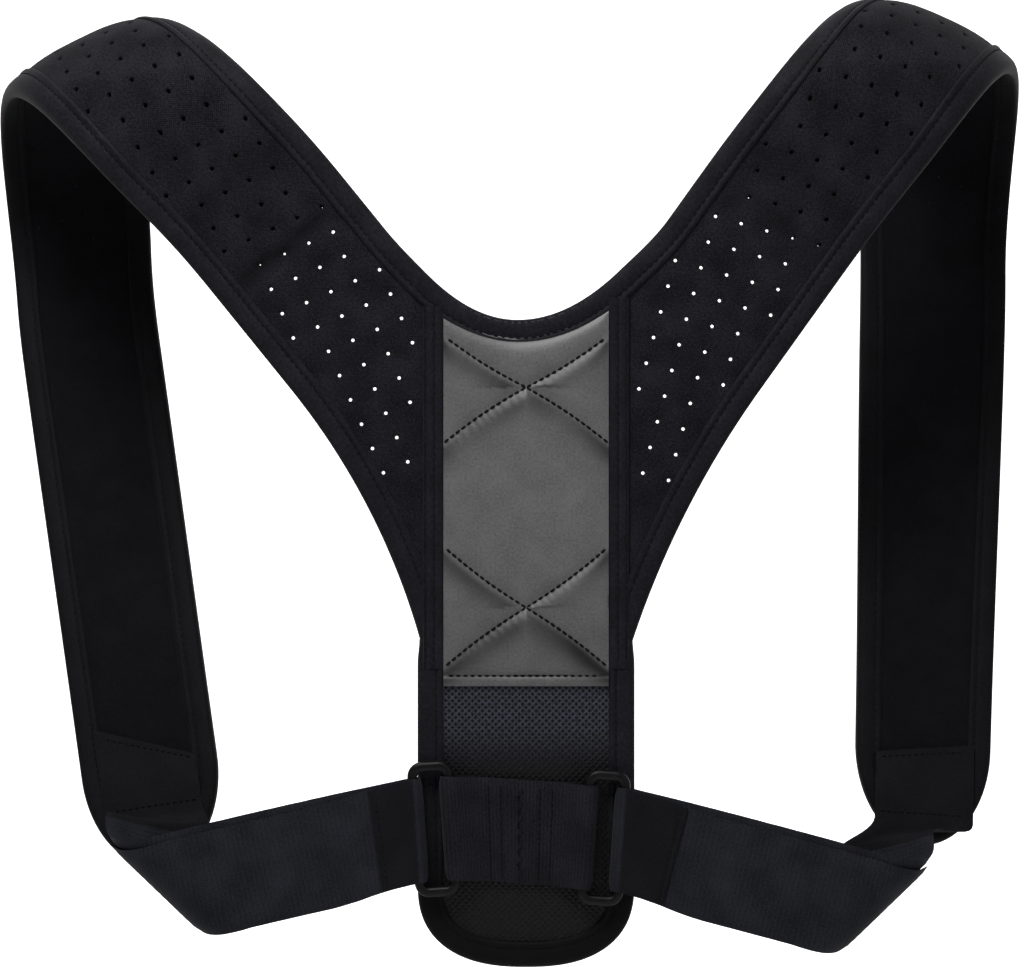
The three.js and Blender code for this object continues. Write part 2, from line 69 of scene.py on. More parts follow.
def smooth(value: float, low: float, high: float) -> float:
    """Returns 0 below low, 1 above high and an even S between them."""
    share = min(max((value - low) / (high - low), 0.0), 1.0)
    return share * share * (3 - 2 * share)


def heading(degrees: float) -> Vector:
    """Returns the flat direction at an angle above the horizontal, x outward and z up."""
    return Vector((math.cos(math.radians(degrees)), math.sin(math.radians(degrees))))


def shares(count: int) -> list[float]:
    """Returns count + 1 even shares from 0 to 1."""
    return [index / count for index in range(count + 1)]


def spaced(start: float, end: float, step: float) -> list[float]:
    """Returns places from start to end, both included, about a step apart."""
    return [lerp(start, end, share) for share in shares(max(1, round(abs(end - start) / step)))]


def squared(value: float, power: float) -> float:
    """Returns a sine or cosine pushed out from a circle to a superellipse of that power."""
    return math.copysign(abs(value) ** (2 / power), value)


def point_on(line: Sequence[Vector], s: float, step: float) -> Vector:
    """Returns the point at s along a line of points that lie a step apart."""
    index = min(int(s / step), len(line) - 2)
    return line[index].lerp(line[index + 1], s / step - index)


def ripple(place: Sequence[float], size: float, seed: float = 0.0) -> float:
    """Returns soft noise from -1 to 1 for a place in millimetres, with lumps about "size" across."""
    return noise.noise(Vector((place[0] / size, place[1] / size, seed)))


@dataclass(frozen=True)
class BraceSizes:
    """Sizes of the brace in millimetres, the same as its solids have but for the finer perforations."""

    gap: float = 0.3
    panel_width: float = 95.0
    neck_height: float = 75.2
    panel_drop: float = 213.0
    panel_end_round: float = 36.0
    end_power: float = 2.45
    foam: float = 4.5
    seam_inset: float = 3.5
    seam_drop: float = 75.0
    binding: float = 10.0
    tape: float = 0.9
    seam_tape: float = 9.0
    patch: float = 1.3
    patch_drop: float = 87.8
    pad_width: float = 75.8
    arch_radius: float = 60.0
    arch_turn: float = 197.0
    arch_reach: float = 202.0
    front_length: float = 306.0
    pad_end_round: float = 46.0
    pad_crown: float = 9.0
    crown_lean: float = 0.3
    crown_power: float = 3.0
    flare_start: float = 50.0
    flare_join: float = 110.0
    neck_blend: float = 30.0
    hole: float = 2.4
    hole_pitch: float = 12.0
    ring_width: float = 20.5
    ring_height: float = 60.5
    ring_bar: float = 4.5
    ring_lean: float = 4.0
    webbing_width: float = 46.5
    webbing: float = 1.8
    fold_radius: float = 17.0
    fold_turn: float = 168.0
    sewn_length: float = 34.0
    free_length: float = 26.0
    over_length: float = 142.0
    over_slip: float = 3.2

    @property
    def seam_place(self) -> float:
        """Distance of the panel's seams from the spine line."""
        return self.panel_width / 2 - self.seam_inset

    @property
    def neck_lowest(self) -> float:
        """Place across the panel of the neckline's lowest point."""
        return -0.04 * self.panel_width

    @property
    def webbing_base(self) -> float:
        """Height of the straps' inner face over the panel's inner face."""
        return self.foam + 2 * self.gap + self.tape

    @property
    def ring_plane(self) -> float:
        """Height of the rings' middle plane over the panel's inner face."""
        return self.webbing_base + self.webbing + self.gap + self.ring_bar / 2

    @property
    def ring_span(self) -> float:
        """Distance between the middles of a ring's two upright bars."""
        return self.ring_width - self.ring_bar

    @property
    def wrap(self) -> float:
        """Radius of the webbing's inner face where it goes round a bar."""
        return self.ring_bar / 2 + self.gap


@dataclass(frozen=True)
class SideShape:
    """How one side hangs when worn. Lengths are shares of the sizes that they follow, angles are degrees."""

    name: str
    sign: int
    neck_rise: float
    root_height: float
    pad_rise: float
    arch_slope: float
    arch_reach: float
    arch_bend: float
    front_bend: float
    front_top: float
    front_end: float
    front_length: float
    ring_out: float
    ring_drop: float
    strap_fall: float
    strap_bend: float
    fold_facing: float
    fold_reach: float
    sewn_place: float
    sewn_slant: float
    tab_length: float
    tab_slant: float
    hole_turn: float
    seen_through: float
    crease_depth: float


SIZES = BraceSizes()
LEFT = SideShape(
    name="left", sign=-1, neck_rise=0.262, root_height=0.42, pad_rise=51, arch_slope=22.5, arch_reach=0.998,
    arch_bend=6, front_bend=11, front_top=0.873, front_end=0.823, front_length=1, ring_out=0.433,
    ring_drop=0.71, strap_fall=12.4, strap_bend=3, fold_facing=-46.2, fold_reach=1.12, sewn_place=0.5,
    sewn_slant=24, tab_length=19, tab_slant=1, hole_turn=-14.7, seen_through=100, crease_depth=1.5,
)
RIGHT = SideShape(
    name="right", sign=1, neck_rise=0.315, root_height=0.36, pad_rise=54.4, arch_slope=20, arch_reach=0.997,
    arch_bend=3.2, front_bend=3.4, front_top=0.93, front_end=0.81, front_length=0.985, ring_out=0.365,
    ring_drop=0.729, strap_fall=14.5, strap_bend=2, fold_facing=-46, fold_reach=1.135, sewn_place=0.2,
    sewn_slant=8, tab_length=25, tab_slant=4, hole_turn=-19.8, seen_through=115, crease_depth=0.5,
)


@dataclass(frozen=True)
class Crease:
    """A flat sheet's bend round a cylinder, which starts at "reach" along the way that "facing" points."""

    facing: float
    reach: float
    radius: float
    turn: float

    def bend(self, place: Flat, height: float) -> Point:
        """Carries a flat place over the crease.

        Args:
            place: The flat place, x outward and z up.
            height: Offset outward from the sheet's near face.

        Returns:
            The point as x, depth behind the near face, and z.
        """
        across = heading(self.facing)
        along = heading(self.facing - 90)
        over = place[0] * across.x + place[1] * across.y - self.reach
        aside = place[0] * along.x + place[1] * along.y
        outer = self.radius + height
        angle = min(max(over / self.radius, 0.0), math.radians(self.turn))
        past = over - angle * self.radius
        out = self.reach + outer * math.sin(angle) + past * math.cos(angle)
        depth = self.radius - outer * math.cos(angle) + past * math.sin(angle)
        return aside * along.x + out * across.x, depth, aside * along.y + out * across.y


class ClothMesh:
    """Gathers points in millimetres, their places on the flat cloth, their painted shade and the faces that
    join them.
    """

    def __init__(self) -> None:
        """Starts an empty mesh."""
        self.points: list[Point] = []
        self.cloth: list[Flat] = []
        self.shade: list[float] = []
        self.faces: list[tuple[int, ...]] = []
        self.finish_of: list[int] = []

    def add(self, point: Sequence[float], cloth: Flat, shade: float = 0.0) -> int:
        """Adds a point with its place on the cloth and its painted shade, and returns its number."""
        self.points.append(tuple(point))
        self.cloth.append(cloth)
        self.shade.append(shade)
        return len(self.points) - 1

    def face(self, corners: Sequence[int], finish: int = 0) -> None:
        """Adds a face with the number of its finish."""
        self.faces.append(tuple(corners))
        self.finish_of.append(finish)

    def sweep(
        self, rings: Sequence[Sequence[int]], closed: bool = False, finishes: Sequence[int] = (),
    ) -> None:
        """Joins rings of points one to the next.

        Args:
            rings: Each ring's points, all with the same number of them.
            closed: Whether the last ring joins the first; otherwise both ends are capped.
            finishes: Number of the finish from each ring on, or nothing for the first finish throughout.
        """
        size = len(rings[0])
        for index in range(len(rings) if closed else len(rings) - 1):
            here, after = rings[index], rings[(index + 1) % len(rings)]
            finish = finishes[index] if finishes else 0
            for corner in range(size):
                beside = (corner + 1) % size
                self.face((here[corner], after[corner], after[beside], here[beside]), finish)
        if not closed:
            self.face(list(rings[0]), finishes[0] if finishes else 0)
            self.face(list(reversed(rings[-1])), finishes[-1] if finishes else 0)

    def build(
        self, name: str, finishes: Sequence[bpy.types.Material], sharp: float = 50.0
    ) -> bpy.types.Object:
        """Makes the Blender object, in metres.

        Args:
            name: Name of the piece.
            finishes: Materials, in the order of the finish numbers.
            sharp: Edges that turn by more than this many degrees stay sharp.

        Returns:
            The new object, which rides on the brace.
        """
        mesh = bpy.data.meshes.new(name)
        mesh.from_pydata([Vector(point) * MM for point in self.points], [], self.faces)
        for material in finishes:
            mesh.materials.append(material)
        mesh.polygons.foreach_set("material_index", self.finish_of)
        mesh.polygons.foreach_set("use_smooth", [True] * len(mesh.polygons))
        places = mesh.attributes.new(CLOTH, "FLOAT_VECTOR", "POINT")
        places.data.foreach_set("vector", [value for u, v in self.cloth for value in (u, v, 0.0)])
        mesh.attributes.new(SHADE, "FLOAT", "POINT").data.foreach_set("value", self.shade)
        mesh.validate()
        volume = sum(
            mesh.vertices[face.vertices[0]].co.dot(face.normal) * face.area for face in mesh.polygons
        )
        if volume < 0:
            mesh.flip_normals()
        mesh.set_sharp_from_angle(angle=math.radians(sharp))
        piece = bpy.data.objects.new(name, mesh)
        bpy.context.scene.collection.objects.link(piece)
        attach(piece, "root")
        LOG.info("%s: %d faces", name, len(mesh.polygons))
        return piece


def linear(hex_colour: str) -> tuple[float, float, float, float]:
    """Turns an sRGB hex colour into a linear one."""
    channels = [int(hex_colour[index:index + 2], 16) / 255 for index in (1, 3, 5)]
    return (*[c / 12.92 if c <= 0.04045 else ((c + 0.055) / 1.055) ** 2.4 for c in channels], 1.0)


class Surface:
    """A material under construction: its node tree, its shader and its place on the cloth."""

    def __init__(self, name: str) -> None:
        """Starts the material."""
        self.made = bpy.data.materials.new(name)
        self.made.use_nodes = True
        self.tree = self.made.node_tree
        self.shader = self.tree.nodes["Principled BSDF"]
        self.place = self.node("ShaderNodeAttribute", attribute_name=CLOTH).outputs["Vector"]
        parts = self.node("ShaderNodeSeparateXYZ", {0: self.place})
        self.across, self.along = parts.outputs["X"], parts.outputs["Y"]

    def node(
        self, kind: str, inputs: dict[str | int, object] | None = None, **settings: object
    ) -> bpy.types.Node:
        """Adds a node to the material's tree.

        Args:
            kind: The node's type.
            inputs: For each input, by name or number, a value or the socket that feeds it.
            settings: The node's own properties.

        Returns:
            The new node.
        """
        made = self.tree.nodes.new(kind)
        for key, value in settings.items():
            setattr(made, key, value)
        for key, value in (inputs or {}).items():
            if isinstance(value, bpy.types.NodeSocket):
                self.tree.links.new(value, made.inputs[key])
            else:
                made.inputs[key].default_value = value
        return made

    def math(self, operation: str, *values: object) -> bpy.types.NodeSocket:
        """Returns the result of a math node."""
        return self.node("ShaderNodeMath", dict(enumerate(values)), operation=operation).outputs[0]

    def wave(self, operation: str, place: bpy.types.NodeSocket, turn: float) -> bpy.types.NodeSocket:
        """Returns the sine or cosine of a place, at "turn" radians a millimetre."""
        return self.math(operation, self.math("MULTIPLY", place, turn))

    def noise(self, size_mm: float, **inputs: float) -> bpy.types.NodeSocket:
        """Returns noise with lumps about "size_mm" across."""
        named = {key.capitalize(): value for key, value in inputs.items()}
        return self.node(
            "ShaderNodeTexNoise", {"Vector": self.place, "Scale": 1 / size_mm, **named},
        ).outputs["Fac"]

    def ranged(
        self, value: bpy.types.NodeSocket, limits: dict[str, float], **settings: object
    ) -> bpy.types.NodeSocket:
        """Returns a value mapped between limits."""
        return self.node("ShaderNodeMapRange", {"Value": value, **limits}, **settings).outputs["Result"]

    def colour(self, tone: bpy.types.NodeSocket, dark: str, light: str) -> None:
        """Blends the base colour between two hex colours, then darkens it towards black by the painted shade.
        """
        blend = self.node(
            "ShaderNodeMix", {"Factor": tone, "A": linear(dark), "B": linear(light)}, data_type="RGBA",
        ).outputs["Result"]
        # Painted shade: the point attribute mixes the colour towards black.
        shade = self.node("ShaderNodeAttribute", attribute_name=SHADE).outputs["Fac"]
        mixed = self.node(
            "ShaderNodeMix", {"Factor": shade, "A": blend, "B": linear("#000000")}, data_type="RGBA",
        )
        self.tree.links.new(mixed.outputs["Result"], self.shader.inputs["Base Color"])

    def relief(self, height: bpy.types.NodeSocket, strength: float, depth_mm: float) -> None:
        """Raises the surface by a height of up to "depth_mm"."""
        bump = self.node(
            "ShaderNodeBump", {"Strength": strength, "Distance": depth_mm * MM, "Height": height},
        )
        self.tree.links.new(bump.outputs["Normal"], self.shader.inputs["Normal"])

    def gloss(self, value: bpy.types.NodeSocket, low: float, high: float) -> None:
        """Varies the roughness between two limits."""
        rough = self.ranged(value, {"To Min": low, "To Max": high})
        self.tree.links.new(rough, self.shader.inputs["Roughness"])

    def fix(self, **constants: float) -> None:
        """Sets the shader's constants, named with underscores for spaces."""
        for key, value in constants.items():
            self.shader.inputs[key.replace("_", " ")].default_value = value


class Weave(Enum):
    """How a cloth's threads lie."""

    KNIT = "knit loops in rows"
    TWILL = "slanted ribs"
    RIB = "ribs across the length"


@dataclass(frozen=True)
class ClothFinish:
    """A dark textile: threads in a weave, loose fibres over it and a soft sheen."""

    name: str
    shade: str
    light: str
    weave: Weave
    thread_mm: float
    fuzz_mm: float
    relief_mm: float
    blotch_mm: float = 18.0
    rib: float = 0.16
    rough: float = 0.86
    sheen: float = 0.04
    wale_rate: float = 1.2

    def material(self) -> bpy.types.Material:
        """Builds the material."""
        skin = Surface(self.name)
        turn = 2 * math.pi / self.thread_mm
        if self.weave is Weave.TWILL:
            threads = skin.wave("SINE", skin.math("ADD", skin.across, skin.along), turn)
        else:
            threads = skin.wave("SINE", skin.along, turn)
        if self.weave is Weave.KNIT:
            threads = skin.math("MULTIPLY", threads, skin.wave("SINE", skin.across, turn * self.wale_rate))
        fibres = skin.noise(self.fuzz_mm, detail=3.0, roughness=0.65)
        blotches = skin.noise(self.blotch_mm, detail=2.0)
        pile = skin.math("MULTIPLY_ADD", threads, self.rib, fibres)
        worn = skin.math("MULTIPLY_ADD", blotches, 0.55, pile)
        skin.colour(skin.ranged(worn, {"From Min": 0.6, "From Max": 0.98}), self.shade, self.light)
        skin.relief(pile, 0.7, self.relief_mm)
        skin.fix(
            Roughness=self.rough, Sheen_Weight=self.sheen, Sheen_Roughness=0.45, Specular_IOR_Level=0.12,
        )
        return skin.made


@dataclass(frozen=True)
class MeshFinish:
    """Open nylon mesh: two sets of threads that cross in diamonds, over a black lining."""

    name: str
    thread: str
    hole: str
    cell_mm: float
    thread_share: float
    fleck_mm: float = 2.0

    def material(self) -> bpy.types.Material:
        """Builds the material."""
        skin = Surface(self.name)
        strands = []
        for operation in ("ADD", "SUBTRACT"):
            slant = skin.math(operation, skin.across, skin.along)
            strands.append(skin.math("ABSOLUTE", skin.wave("COSINE", slant, math.pi / self.cell_mm)))
        lattice = skin.math("MAXIMUM", *strands)
        height = skin.ranged(
            lattice, {"From Min": 1 - self.thread_share, "From Max": 1.0}, interpolation_type="SMOOTHSTEP",
        )
        flecks = skin.noise(self.fleck_mm, detail=4.0)
        lit = skin.ranged(skin.math("MULTIPLY", height, flecks), {"From Min": 0.05, "From Max": 0.6})
        skin.colour(lit, self.hole, self.thread)
        skin.relief(height, 0.9, 0.5)
        skin.fix(Roughness=0.55, Specular_IOR_Level=0.25)
        return skin.made


@dataclass(frozen=True)
class LeatheretteFinish:
    """Polyurethane-coated fabric: a satin skin with fine pressed grain and faint rubbed patches."""

    name: str
    skin: str
    rubbed: str
    grain_mm: float
    rub_mm: float = 14.0

    def material(self) -> bpy.types.Material:
        """Builds the material."""
        skin = Surface(self.name)
        grain = skin.node(
            "ShaderNodeTexVoronoi", {"Vector": skin.place, "Scale": 1 / self.grain_mm},
            feature="DISTANCE_TO_EDGE",
        ).outputs["Distance"]
        pores = skin.noise(self.grain_mm, detail=4.0)
        rubbing = skin.noise(self.rub_mm, detail=3.0)
        mixed = skin.math("MULTIPLY_ADD", rubbing, 0.6, pores)
        skin.colour(skin.ranged(mixed, {"From Min": 0.55, "From Max": 1.1}), self.skin, self.rubbed)
        skin.gloss(pores, 0.36, 0.56)
        skin.relief(skin.math("MULTIPLY_ADD", grain, 0.8, pores), 0.45, 0.12)
        skin.fix(Specular_IOR_Level=0.45)
        return skin.made


@dataclass(frozen=True)
class PlasticFinish:
    """Moulded plastic: an even dark body with a faintly dulled, orange-peel skin."""

    name: str
    body: str
    worn: str
    peel_mm: float
    scuff_mm: float = 6.25

    def material(self) -> bpy.types.Material:
        """Builds the material."""
        skin = Surface(self.name)
        peel = skin.noise(self.peel_mm, detail=2.0)
        scuffs = skin.noise(self.scuff_mm, detail=6.0, roughness=0.7)
        skin.colour(skin.ranged(scuffs, {"From Min": 0.45, "From Max": 0.75}), self.body, self.worn)
        skin.gloss(scuffs, 0.34, 0.56)
        skin.relief(peel, 0.3, 0.05)
        skin.fix(Specular_IOR_Level=0.2)
        return skin.made


# Knit laminated to foam rubber: matt, faintly ribbed, with a bluish cast and pale loose fibres.
# The real loops are about 0.6 mm apart and are drawn twice as coarse so that they show.
PAD_KNIT = ClothFinish("knit_laminated_foam", "#050508", "#222229", Weave.KNIT, 1.3, 1.1, 0.5)
# Brushed tricot on the side that faces the body: closer than the outer knit, and darker as painted shade,
# since the inner faces lie in shade.
LINING_WITH_PAINTED_SHADE = ClothFinish("brushed_tricot_lining_with_painted_shade", "#030305", "#0e0e13", Weave.KNIT, 1.2, 1.4, 0.2, sheen=0.05)
# Woven polyester tape, pressed flat: smoother than the pads, so it catches more light.
EDGE_TAPE = ClothFinish(
    "woven_polyester_tape", "#0b0b0f", "#1e1e25", Weave.TWILL, 1.2, 1.6, 0.18, rib=0.1, rough=0.7,
)
# Brushed loop elastic: a dense fuzz that hides the threads, paler than the pads.
LOOP_ELASTIC = ClothFinish("brushed_loop_elastic", "#14151a", "#27282f", Weave.RIB, 2.2, 0.9, 0.22, rib=0.04)
# Hook tape at the strap ends, darker and smoother than the loop face. On each strap's sewn end and free
# stretch, which are the same loop elastic, this darker finish is painted shade.
HOOK_TAPE_AND_PAINTED_SHADE = ClothFinish(
    "moulded_hook_tape_and_painted_shade", "#09090c", "#151519", Weave.KNIT, 1.2, 1.2, 0.25, rib=0.08, rough=0.75,
)
# Brushed loop webbing across the panel, ribbed along its length.
LOOP_WEBBING = ClothFinish("brushed_loop_webbing", "#0e0e12", "#222228", Weave.RIB, 1.6, 1.0, 0.3, rib=0.07)
# Nylon mesh with diamond cells over a black lining: pale threads, near-black holes.
NYLON_MESH = MeshFinish("woven_nylon_mesh", "#3c3d4b", "#020203", cell_mm=3.0, thread_share=0.38)
# Coated fabric with a fine pressed grain and a satin gloss, mid grey.
LEATHERETTE = LeatheretteFinish("pressed_polyurethane_leatherette", "#525253", "#6c6c6c", grain_mm=1.1)
# Moulded acetal: near black, satin, with softly dulled corners.
ACETAL = PlasticFinish("moulded_acetal", "#060608", "#131316", peel_mm=0.9)
# Spun polyester thread, twisted, a shade darker than what it sews.
THREAD = ClothFinish("spun_polyester_thread", "#060608", "#121215", Weave.TWILL, 0.6, 0.5, 0.1)


Finish = ClothFinish | MeshFinish | LeatheretteFinish | PlasticFinish


class Palette:
    """Builds each finish once and hands out its material."""

    def __init__(self) -> None:
        """Starts with no material built."""
        self.built: dict[str, bpy.types.Material] = {}

    def __call__(self, finish: Finish) -> bpy.types.Material:
        """Returns the finish's material."""
        if finish.name not in self.built:
            self.built[finish.name] = finish.material()
        return self.built[finish.name]


PALETTE = Palette()


class PadMap:
    """Carries places on a flat pad over the shoulder, as the solids do."""

    step: float = 2.0
    crown_fade: float = 0.72

    def __init__(self, side: SideShape, sizes: BraceSizes) -> None:
        """Lays out the pad's centre line in the flat and the crease over the shoulder.

        Args:
            side: The side's shape.
            sizes: The brace's sizes.
        """
        self.side = side
        self.sizes = sizes
        self.seam_x = sizes.seam_place + sizes.gap
        self.start = Vector((self.seam_x, side.root_height * sizes.neck_height))
        reach = side.arch_reach * sizes.arch_reach
        across = heading(90 - side.arch_slope)
        self.arch_start = (reach - self.start.dot(across)) / heading(side.pad_rise).dot(across)
        skew = math.cos(math.radians(90 - side.arch_slope - side.pad_rise))
        self.arch_end = self.arch_start + math.radians(sizes.arch_turn) * sizes.arch_radius / skew
        self.length = self.arch_end + side.front_length * sizes.front_length
        self.crease = Crease(90 - side.arch_slope, reach, sizes.arch_radius, sizes.arch_turn)
        self.line = [self.start]
        for index in range(int(self.length / self.step) + 2):
            way = heading(self.angle_at((index + 0.5) * self.step))
            self.line.append(self.line[-1] + way * self.step)
        self.foot = self.place_of(Vector((self.seam_x, -sizes.seam_drop)))
        self.nape = self.place_of(Vector((self.seam_x, neckline(side.sign * self.seam_x, sizes))))
        run = sizes.flare_start - self.foot[0]
        rise = self.foot[1] - sizes.pad_width / 2
        self.flare_radius = (run ** 2 + rise ** 2) / (2 * rise)

    def angle_at(self, s: float) -> float:
        """Returns the centre line's heading at a place along it, in degrees."""
        radius = self.sizes.arch_radius
        side = self.side
        lean = side.arch_bend * smooth(s, self.arch_start - radius, self.arch_start)
        settled = smooth(s, self.arch_end - radius, self.arch_end + radius)
        return side.pad_rise - lean + side.front_bend * settled

    def place_of(self, flat: Vector) -> Flat:
        """Returns the place along and aside of the centre line's straight start for a flat point."""
        offset = flat - self.start
        return offset.dot(heading(self.side.pad_rise)), offset.dot(heading(self.side.pad_rise - 90))

    def flat(self, s: float, t: float) -> Vector:
        """Returns the flat point at s along the centre line and t to its armhole side."""
        aside = heading(self.angle_at(s) - 90) * t
        if s <= 0:
            return self.start + heading(self.side.pad_rise) * s + aside
        return point_on(self.line, s, self.step) + aside

    def half(self, s: float) -> float:
        """Returns half the pad's width at a place along it."""
        side, sizes = self.side, self.sizes
        top = lerp(1, side.front_top, smooth(s, self.arch_start, self.arch_end))
        width = sizes.pad_width / 2 * lerp(top, side.front_end, smooth(s, self.arch_end, self.length))
        past = max(0.0, (s - (self.length - sizes.pad_end_round)) / sizes.pad_end_round)
        return width * math.sqrt(max(0.0, 1 - past ** 2))

    def arm_t(self, s: float) -> float:
        """Returns the armhole edge's place, which flares in an arc down to the foot of the seam."""
        back = max(0.0, self.sizes.flare_start - s)
        return self.half(s) + self.flare_radius - math.sqrt(max(0.0, self.flare_radius ** 2 - back ** 2))

    def neck_t(self, s: float) -> float:
        """Returns the neck edge's place, which meets the neckline at the seam."""
        blend = self.sizes.neck_blend
        share = 1 - smooth(s, self.nape[0] - blend, self.nape[0] + blend)
        return -self.half(s) + 2 * share * (self.nape[1] + self.sizes.pad_width / 2)

    def point(self, s: float, t: float, height: float) -> Point:
        """Returns the worn point, "height" outward from the pad's inner face."""
        sizes = self.sizes
        middle = (self.arch_start + self.arch_end) / 2
        fade = (self.arch_end - self.arch_start) * self.crown_fade
        weight = 1 - smooth(abs(s - middle), sizes.arch_radius, fade)
        across = t / (sizes.pad_width / 2)
        lean = 1 - sizes.crown_lean * across
        crown = sizes.pad_crown * weight * lean * max(0.0, 1 - abs(across) ** sizes.crown_power)
        x, depth, z = self.crease.bend(tuple(self.flat(s, t)), height + crown)
        return self.side.sign * x, depth, z


def neck_arm(x: float, sizes: BraceSizes) -> tuple[float, float]:
    """Returns the rise and the signed reach of the half of the neckline that a place lies on."""
    side = LEFT if x < sizes.neck_lowest else RIGHT
    return side.neck_rise, side.sign * sizes.seam_place - sizes.neck_lowest


def neckline(x: float, sizes: BraceSizes) -> float:
    """Returns the neckline's height at a place across the panel."""
    rise, reach = neck_arm(x, sizes)
    return sizes.neck_height * (1 + rise * ((x - sizes.neck_lowest) / reach) ** 2)


def neck_slope(x: float, sizes: BraceSizes) -> float:
    """Returns the neckline's slope at a place across the panel."""
    rise, reach = neck_arm(x, sizes)
    return 2 * sizes.neck_height * rise * (x - sizes.neck_lowest) / reach ** 2


def neck_inward(x: float, sizes: BraceSizes) -> Vector:
    """Returns the flat direction square to the neckline, down into the panel."""
    return Vector((neck_slope(x, sizes), -1.0)).normalized()


def panel_half(z: float, sizes: BraceSizes) -> float:
    """Returns half the panel's width at a height, with the round bottom end as a superellipse."""
    past = max(0.0, -(z + sizes.panel_drop - sizes.panel_end_round)) / sizes.panel_end_round
    return sizes.panel_width / 2 * max(0.0, 1 - past ** sizes.end_power) ** (1 / sizes.end_power)


@dataclass
class Stitching:
    """Rows of thread stitches, gathered into one piece."""

    pitch: float = 3.4
    length: float = 2.5
    radius: float = 0.33
    sides: int = 6
    rise: float = 1.3
    sink: float = 0.7
    thin: float = 0.45

    def __post_init__(self) -> None:
        """Starts with no stitch sewn."""
        self.mesh = ClothMesh()

    def stitch(self, start: Vector, end: Vector, normal: Vector) -> None:
        """Sews one stitch that rises out of the cloth and dives back into it.

        Args:
            start: Where the thread comes up.
            end: Where it goes down.
            normal: The cloth's outward direction there.
        """
        along = (end - start).normalized()
        aside = along.cross(normal).normalized()
        rings = []
        for share in shares(4):
            lift = math.sin(math.pi * share)
            middle = start.lerp(end, share) + normal * self.radius * (self.rise * lift - self.sink)
            width = self.radius * lerp(self.thin, 1, lift)
            ring = []
            for corner in range(self.sides):
                angle = 2 * math.pi * corner / self.sides
                offset = aside * math.cos(angle) + normal * math.sin(angle)
                ring.append(self.mesh.add(middle + offset * width, (corner * 0.3, share * self.length)))
            rings.append(ring)
        self.mesh.sweep(rings)

    def row(self, path: Sequence[Point], normals: Sequence[Vector] = ()) -> None:
        """Sews a row of stitches along a path.

        Args:
            path: Points along the row.
            normals: The cloth's outward direction at each point, or nothing on the flat panel.
        """
        normals = normals or [OUTWARD] * len(path)
        points = [Vector(point) for point in path]
        reach = [0.0]
        for before, after in zip(points, points[1:]):
            reach.append(reach[-1] + (after - before).length)
        index = 0
        for number in range(int(reach[-1] / self.pitch)):
            ends = []
            for place in (number * self.pitch, number * self.pitch + self.length):
                while index < len(points) - 2 and reach[index + 1] < place:
                    index += 1
                share = (place - reach[index]) / max(reach[index + 1] - reach[index], 1e-6)
                ends.append(points[index].lerp(points[index + 1], share))
            self.stitch(ends[0], ends[1], normals[index])

    def build(self, name: str) -> bpy.types.Object:
        """Makes the stitches' piece."""
        return self.mesh.build(name, [PALETTE(THREAD)])


@dataclass
class FoldedTape:
    """A tape folded over an edge and sewn down along a ridge near its inner rim."""

    sizes: BraceSizes
    wave_mm: float = 0.12
    groove_inset: float = 2.8
    # Painted shade: how dark the tape's inner face, and its outer face low on the panel, are painted.
    inner_shade: float = 0.6
    low_shade: float = 0.85

    def profile(self) -> list[Flat]:
        """Returns the section as distances in from the edge and heights over the foam's inner face."""
        top = self.sizes.foam
        width = self.sizes.binding
        outer = [
            (width + 0.5, top + 0.1), (width + 0.35, top + 0.95), (width - 0.4, top + 1.55),
            (width - 1.3, top + 1.6), (width - 2.2, top + 1.15), (width - 2.8, top + 0.75),
            (width - 3.4, top + 1.05), (width - 4.6, top + 1.3), (4.0, top + 1.4), (2.2, top + 1.35),
            (0.8, top + 1.05), (-0.2, top + 0.45), (-0.9, top - 0.5), (-1.2, top - 1.6),
        ]
        inner = [
            (-1.2, 1.5), (-0.9, 0.4), (-0.2, -0.5), (0.8, -0.95), (2.4, -1.15), (4.6, -1.15),
            (width - 3.4, -0.95), (width - 2.8, -0.7), (width - 2.0, -1.05), (width - 0.8, -1.15),
            (width + 0.2, -0.8), (width + 0.5, -0.05),
        ]
        return outer + inner

    def build(
        self, name: str, edge: Sequence[tuple[Vector, Vector]], place: Callable[[Vector, float], Point],
        stitching: Stitching,
    ) -> bpy.types.Object:
        """Sweeps the tape along an edge and sews it down on both faces.

        Args:
            name: Name of the piece.
            edge: Flat points along the edge, each with its inward direction.
            place: Puts a flat point and a height in space.
            stitching: Takes the stitch rows.

        Returns:
            The tape's piece.
        """
        mesh = ClothMesh()
        rings = []
        run = 0.0
        groove = self.sizes.binding - self.groove_inset
        rows = {1: [], -1: []}
        for index, (point, inward) in enumerate(edge):
            run += (point - edge[index - 1][0]).length if index else 0.0
            ring = []
            girth = 0.0
            before = None
            for distance, height in self.profile():
                on_face = 1 < distance < self.sizes.binding - 4
                wave = self.wave_mm * ripple((run, distance), 9.0, 3.0) if on_face else 0.0
                girth += math.dist(before, (distance, height)) if before else 0.0
                before = (distance, height)
                lift = height + wave if height > self.sizes.foam / 2 else height - wave
                spot = place(point + inward * distance, lift)
                # Painted shade: the inner face darkens, and the outer face darkens towards the panel's
                # bottom.
                behind = self.inner_shade * (1 - smooth(lift, 0.0, self.sizes.foam * 0.6))
                low = self.low_shade * smooth(-spot[2], 140.0, 190.0) * smooth(-spot[1], 2.0, 4.0)
                ring.append(mesh.add(spot, (girth, run), max(behind, low)))
            rings.append(ring)
            for face, height in ((1, self.sizes.foam + 0.85), (-1, -0.8)):
                seam = Vector(place(point + inward * groove, height))
                beyond = Vector(place(point + inward * groove, height + face))
                rows[face].append((seam, (beyond - seam).normalized()))
        mesh.sweep(rings)
        for row in rows.values():
            stitching.row([point for point, _ in row], [normal for _, normal in row])
        return mesh.build(name, [PALETTE(EDGE_TAPE)])


